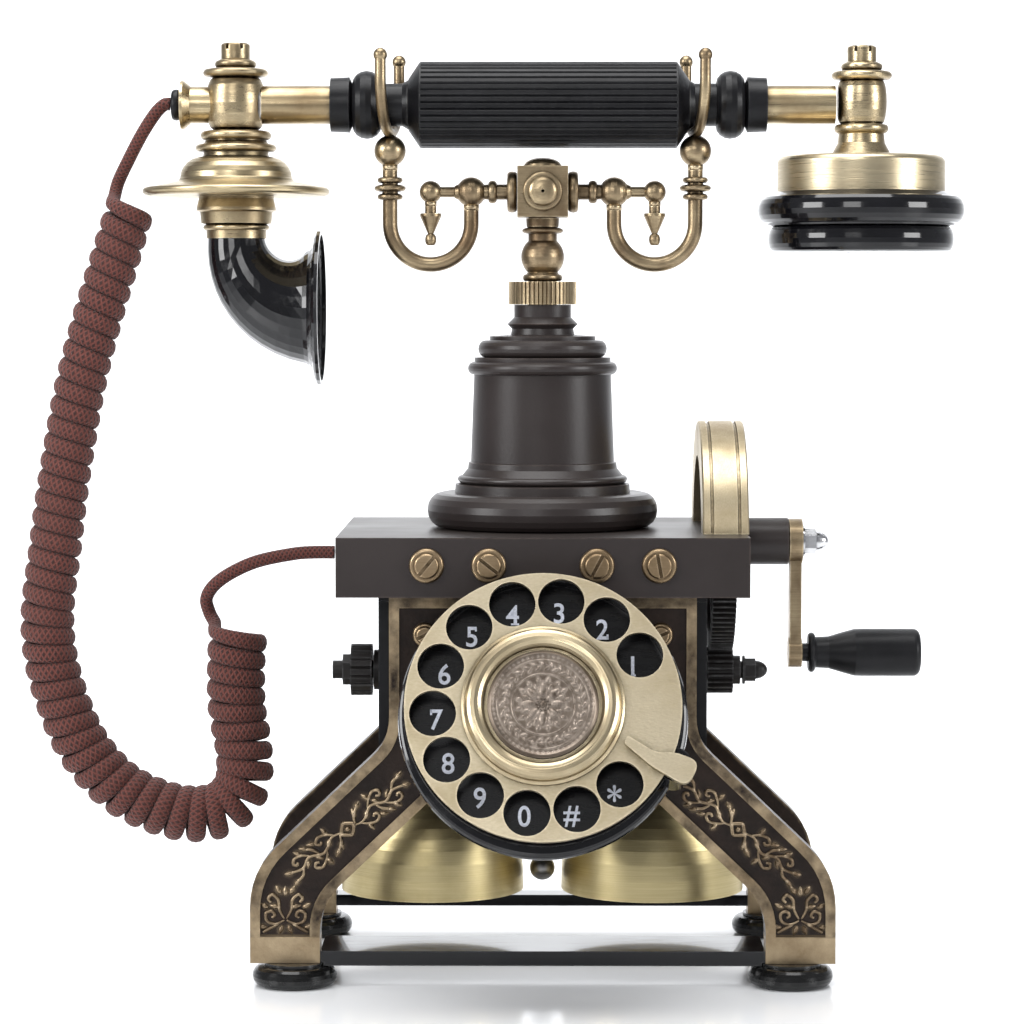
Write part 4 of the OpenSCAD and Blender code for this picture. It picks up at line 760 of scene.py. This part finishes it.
# %% Makers for cast ornament
def strand(casting, points, thick, tip=0.35, sides=6, steps=5):
    """A tapered round stem along a smooth line through points, added to a casting."""
    line = curve_through(points, steps)
    last = len(line) - 1
    up = Vector((0.3, 0.5, 0.8))
    rings = []
    for i, p in enumerate(line):
        run = (line[min(i + 1, last)] - line[max(i - 1, 0)]).normalized()
        up = (up - run * up.dot(run)).normalized()
        side = run.cross(up)
        r = thick / 2 * (tip + (1 - tip) * math.sin(math.pi * (0.15 + 0.85 * (1 - i / last))) ** 0.5)
        rings.append([casting.verts.new(p + (up * math.cos(a) + side * math.sin(a)) * r)
                      for a in [2 * math.pi * k / sides for k in range(sides)]])
    for low, high in zip(rings, rings[1:]):
        for k in range(sides):
            n = (k + 1) % sides
            casting.faces.new((low[n], low[k], high[k], high[n]))
    casting.faces.new(rings[0])
    casting.faces.new(list(reversed(rings[-1])))


def bud(casting, frame_at, u, v, heading, length, width, height, point=0.6):
    """A leaf or bead at u, v on a face, pointing along heading: a dome with one sharp end."""
    made = bmesh.ops.create_uvsphere(casting, u_segments=10, v_segments=6, radius=1)["verts"]
    turn = Matrix.Rotation(heading, 3, "Z")
    for vert in made:
        x, y, z = vert.co
        narrow = 1 - point * max(0, x)
        bent = turn @ Vector((x * length / 2, y * width / 2 * narrow, 0))
        vert.co = frame_at(u + bent.x, v + bent.y, z * height * narrow)


def cast(name, casting, material, body):
    """Turns a casting into a piece that rides on a body."""
    bmesh.ops.recalc_face_normals(casting, faces=casting.faces)
    mesh = bpy.data.meshes.new(name)
    casting.to_mesh(mesh)
    casting.free()
    mesh.polygons.foreach_set("use_smooth", [True] * len(mesh.polygons))
    piece = bpy.data.objects.new(name, mesh)
    bpy.context.scene.collection.objects.link(piece)
    paint(material, piece)
    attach(piece, body)
    print(name, len(mesh.vertices), "points")
    return piece


# %% [markdown]
# The cradle's rods and drops end a hair short of the balls they belong to, so that the solids
# don't cut each other. A short sleeve closes each of those gaps, as a soldered joint would.

# %% Sleeves under the cradle's balls
ARM_Z = mid("cradle_arms").z / MM
HOOK_IN, DROP_X, HOOK_OUT = 24.8, 38.9, 53.0
# Place across, lowest and highest point from the arms' axis, and width, all in millimetres.
sleeves = [(HOOK_IN, -6.3, -4.2, 5.4), (DROP_X, -4.9, -3.1, 4.2), (HOOK_OUT, 7.5, 9.6, 5.4)]
soldered = bmesh.new()
for across, low, high, wide in sleeves:
    for side in (-1, 1):
        strand(soldered, [at(side * across, 0, ARM_Z + low), at(side * across, 0, ARM_Z + high)],
               wide * MM, tip=1.0, sides=24, steps=1)
cast("cradle_sleeves", soldered, cradle_brass, "cradle")


# %% [markdown]
# A vine runs down the sloping part of each leg, with a small lozenge at its middle. Only one
# half of it is drawn, in millimetres along and across the leg, and the other half is its
# mirror. A crest of two scrolls and three leaves stands over each foot.

# %% Vine and crest in the leg's own directions
vine_stems = [
    [(1.8, 0), (6, 1.3), (11, -1.1), (16, 1.1), (20, -0.4), (24, 0.9)],
    [(4.6, 1), (6.8, 3.2), (9.6, 4.3), (11.4, 3.1), (10.5, 1.9), (9.4, 2.4)],
    [(9.6, -0.9), (11.8, -3.1), (14.6, -4.4), (16.5, -3.1), (15.6, -1.9), (14.5, -2.5)],
    [(15.4, 1), (17.6, 3.1), (20.2, 3.9), (21.7, 2.7), (20.9, 1.6), (20, 2.2)],
    [(3, 0.4), (4.6, -2.2), (7, -3.7)],
    [(19.6, -0.4), (21.8, -2.4), (24.4, -2.6)],
    [(12.6, -0.2), (13.6, 2.2), (15.2, 3.8)],
]
vine_leaves = [(7.6, -4.1, -0.4), (5, -3, -1.3), (25, -2.9, -0.2), (15.8, 4.5, 0.8),
               (24.9, 1.3, 0.5), (12.9, 4, 0.6), (8.2, 0.2, -0.8), (13.4, -1.2, 0.9),
               (17.8, -0.6, -0.7), (18.4, 4.6, 1.0), (11.4, -4.6, -1.8), (6.8, 4.6, 1.5)]
crest_stems = [
    [(0.4, 2.5), (3.4, 1.2), (6.2, 2.2), (6.6, 4.8), (4.6, 5.6), (3.6, 4.2), (4.6, 3.4)],
    [(0.4, 3), (2, 6), (2.4, 9.4), (4.4, 11.2), (5.8, 9.8), (4.8, 8.6)],
    [(2.4, 1.2), (5.4, -0.4), (7.6, -1.6)],
]
crest_leaves = [(0, 12.4, 1.57), (2.4, 12.8, 1.0), (7.2, 7.4, 0.5), (3.6, 7.2, 0.2),
                (1.6, -0.8, -1.2), (7.9, 0.2, 0.1)]


# Where the vine's middle and the crest's foot are, across and up, and how the leg slopes.
VINE_X, VINE_Z = 65.6, 53.4
CREST_X, CREST_Z = 86.6, 20
SLOPE = math.atan2(-31, 36.5)
LIFT = 0.3


def ornament_legs(name, face_y, toward, material):
    """A vine and a crest on the two legs of one frame, on the panel at face_y."""
    casting = bmesh.new()
    for side in (-1, 1):
        def on_vine(u, v, w, side=side):
            """Along the leg, across it and out of it, from the vine's middle."""
            x = VINE_X + u * math.cos(SLOPE) - v * math.sin(SLOPE)
            z = VINE_Z + u * math.sin(SLOPE) + v * math.cos(SLOPE)
            return Vector((at(side * x, 0, z).x, face_y + toward * w * MM, z * MM))

        def on_crest(u, v, w, side=side):
            """Sideways, up and out, from the foot of the crest."""
            x = at(side * (CREST_X + u), 0, 0).x
            return Vector((x, face_y + toward * w * MM, (CREST_Z + v) * MM))

        for way in (1, -1):
            for stem in vine_stems:
                strand(casting, [on_vine(way * u, way * v, LIFT) for u, v in stem], 1.25 * MM)
            for u, v, heading in vine_leaves:
                turn = heading if way > 0 else heading + math.pi
                bud(casting, on_vine, way * u, way * v, turn, 3.4, 1.7, 0.9)
            for stem in crest_stems:
                strand(casting, [on_crest(way * u, v, LIFT) for u, v in stem], 1.3 * MM)
            for u, v, heading in crest_leaves:
                turn = heading if way > 0 else math.pi - heading
                bud(casting, on_crest, way * u, v, turn, 3.6, 1.9, 0.9)
        corners = [(-3, 0), (0, 2.6), (3, 0), (0, -2.6)]
        for a, b in zip(corners, corners[1:] + corners[:1]):
            strand(casting, [on_vine(*a, LIFT), on_vine(*b, LIFT)], 1.4 * MM, tip=0.9)
        bud(casting, on_vine, 0, 0, 0, 2.2, 2.2, 1.2, point=0)
    cast(name, casting, material, "base")


relief_brass = brass("relief_brass", (0.4, 0.31, 0.2), (0.1, 0.065, 0.04), 0.52, 0.33,
                     edge=0.0005, grime_and_shade=0.0015)
ornament_legs("front_relief", front_low.y + PANEL_SINK, -1, relief_brass)
ornament_legs("rear_relief", rear_high.y - PANEL_SINK, 1, relief_brass)

# %% [markdown]
# The medallion in the dial's hub has a generic rosette: a ring of beads, a wreath of leaves and
# an eight-petalled flower. `on_dial` gives points in the dial's own tilted plane.

# %% Medallion rosette
dial_turn = Matrix.Rotation(DIAL_TILT[0], 3, "X")


def on_dial(x, y, z):
    """A point on the dial's tilted face: right, up and out of it, in millimetres."""
    return dial_centre + dial_turn @ (Vector((x, y, z)) * MM)


# The field is the part of the medallion's face, inside its rim, that lies nearest its top.
FIELD_R = 12
to_dial = dial_turn.inverted()
medal_points = [to_dial @ (v.co - dial_centre) / MM for v in nodes["dial_medallion"].data.vertices]
medal_top = max(p.z for p in medal_points)
field_top = min((p.z for p in medal_points if p.xy.length < FIELD_R),
                key=lambda z: abs(z - medal_top))
print("medallion top:", round(medal_top, 2), "field:", round(field_top, 2))


def rosette():
    """Beads, a wreath and a flower, in rings about the dial's axis."""
    casting = bmesh.new()

    def raised(x, y, z):
        return on_dial(x, y, field_top + z)

    def ring_of(count, radius, length, width, height, lean=0.0, point=0.6, phase=0.0):
        """Buds evenly round the axis, each turned by lean from pointing outwards."""
        for i in range(count):
            a = 2 * math.pi * (i + phase) / count
            bud(casting, raised, radius * math.cos(a), radius * math.sin(a), a + lean, length,
                width, height, point)

    ring_of(60, 16.2, 1.1, 1.1, 0.5, point=0)
    ring_of(28, 13.4, 3.4, 1.5, 0.55, lean=0.9)
    ring_of(28, 12.2, 3.4, 1.5, 0.5, lean=-0.9, phase=0.5)
    ring_of(16, 8.2, 3.0, 1.9, 0.5, phase=0.5)
    ring_of(8, 5.0, 6.4, 3.2, 0.75)
    ring_of(8, 6.2, 3.6, 1.8, 0.6, phase=0.5)
    ring_of(10, 1.9, 0.9, 0.9, 0.9, point=0)
    bud(casting, raised, 0, 0, 0, 2.8, 2.8, 1.2, point=0)
    for radius, thick in ((10.2, 0.7), (14.9, 0.6)):
        circle = [raised(radius * math.cos(a), radius * math.sin(a), 0.1)
                  for a in [2 * math.pi * k / 48 for k in range(49)]]
        strand(casting, circle, thick * MM, tip=1.0, steps=1)
    return casting


medal_brass = brass("medal_brass", (0.22, 0.18, 0.145), (0.08, 0.06, 0.046), 0.5, 0.38,
                    centre=dial_centre, tilt=DIAL_TILT, grime_and_shade=0.002)
cast("medallion_relief", rosette(), medal_brass, "dial")
paint(medal_brass, "dial_medallion")

# %% [markdown]
# The digits are printed on the plate behind the finger wheel. Each is a font curve with a
# little thickness, turned into a mesh and laid on the tilted plate. The wheel stands off the
# plate, so each digit is set a little away from its hole's middle to show inside it.

# %% Digits
ink, ink_tree, ink_shader = finish("white_ink", Roughness=0.45)
ink_cloud = noise(ink_tree, add(ink_tree, "TexCoord").outputs["Object"], 1500, 3)
ink_tree.links.new(mixed(ink_tree, ranged(ink_tree, ink_cloud, 0.35, 0.7), (0.7, 0.74, 0.84),
                         (0.5, 0.53, 0.62)), ink_shader.inputs["Base Color"])
bumped(ink_tree, ink_shader, ink_cloud, 0.00002)

HOLE_RING, HOLE_START, HOLE_STEP = 35.8, 28.6, 25.9
PLATE_TOP, INK_STEP = -7, 0.07
FIGURE_SIZE, STAR_SIZE = 9.6, 12
NARROWED = 0.92
# Each figure and how far it lies from the middle of its hole, in millimetres along the plate.
figures = {"1": (-2.1, -1.4), "2": (-1.3, -0.9), "3": (-0.7, -1.5), "4": (0, -1.2),
           "5": (0.7, -0.8), "6": (1.0, -0.4), "7": (1.0, 0.1), "8": (0.3, 0.8),
           "9": (-0.3, 1.1), "0": (-0.9, 0.9), "#": (-1.6, -0.4), "*": (-1.6, -1.0)}


def printed(text, size):
    """A font curve's mesh, with its middle moved to the origin."""
    curve = bpy.data.curves.new("figure", "FONT")
    curve.body, curve.size = text, size
    curve.extrude, curve.offset = 0.06 * MM, 0.012 * size
    shape = bpy.data.objects.new("figure", curve)
    bpy.context.scene.collection.objects.link(shape)
    graph = bpy.context.evaluated_depsgraph_get()
    mesh = bpy.data.meshes.new_from_object(shape.evaluated_get(graph))
    bpy.data.objects.remove(shape)
    corners = [v.co for v in mesh.vertices]
    low = Vector([min(c[i] for c in corners) for i in range(3)])
    high = Vector([max(c[i] for c in corners) for i in range(3)])
    mesh.transform(Matrix.Translation(-(low + high) / 2))
    return mesh, high - low


# Serifs, as shares of a figure's width and height: middle x, middle y, length, thickness.
serifs = {"1": [(0.15, -0.46, 1.5, 0.09)], "4": [(0.2, -0.46, 0.62, 0.09)],
          "7": [(-0.42, 0.36, 0.17, 0.26)], "2": [(0.42, -0.37, 0.17, 0.24)],
          "5": [(0.36, 0.38, 0.17, 0.22)]}


def bar(casting, x, y, length, thick, deep):
    """A flat bar, square to the page, added to the print."""
    made = bmesh.ops.create_cube(casting, size=1)["verts"]
    for vert in made:
        vert.co = Vector((x + vert.co.x * length, y + vert.co.y * thick, vert.co.z * deep))


plate_print = bmesh.new()
for i, (figure, (right, up)) in enumerate(figures.items()):
    angle = math.radians(HOLE_START + HOLE_STEP * i)
    mesh, size = printed(figure, (STAR_SIZE if figure == "*" else FIGURE_SIZE) * MM)
    stamp = bmesh.new()
    stamp.from_mesh(mesh)
    for x, y, length, thick in serifs.get(figure, []):
        bar(stamp, x * size.x, y * size.y, length * size.x, thick * size.y, 0.12 * MM)
    stamp.to_mesh(mesh)
    stamp.free()
    mesh.transform(Matrix.Scale(NARROWED, 4, (1, 0, 0)))
    mesh.transform(dial_turn.to_4x4())
    middle = on_dial(HOLE_RING * math.cos(angle) + right, HOLE_RING * math.sin(angle) + up,
                     PLATE_TOP + INK_STEP)
    mesh.transform(Matrix.Translation(middle))
    plate_print.from_mesh(mesh)
    bpy.data.meshes.remove(mesh)
digits = cast("dial_digits", plate_print, ink, "base")
digits.data.polygons.foreach_set("use_smooth", [False] * len(digits.data.polygons))
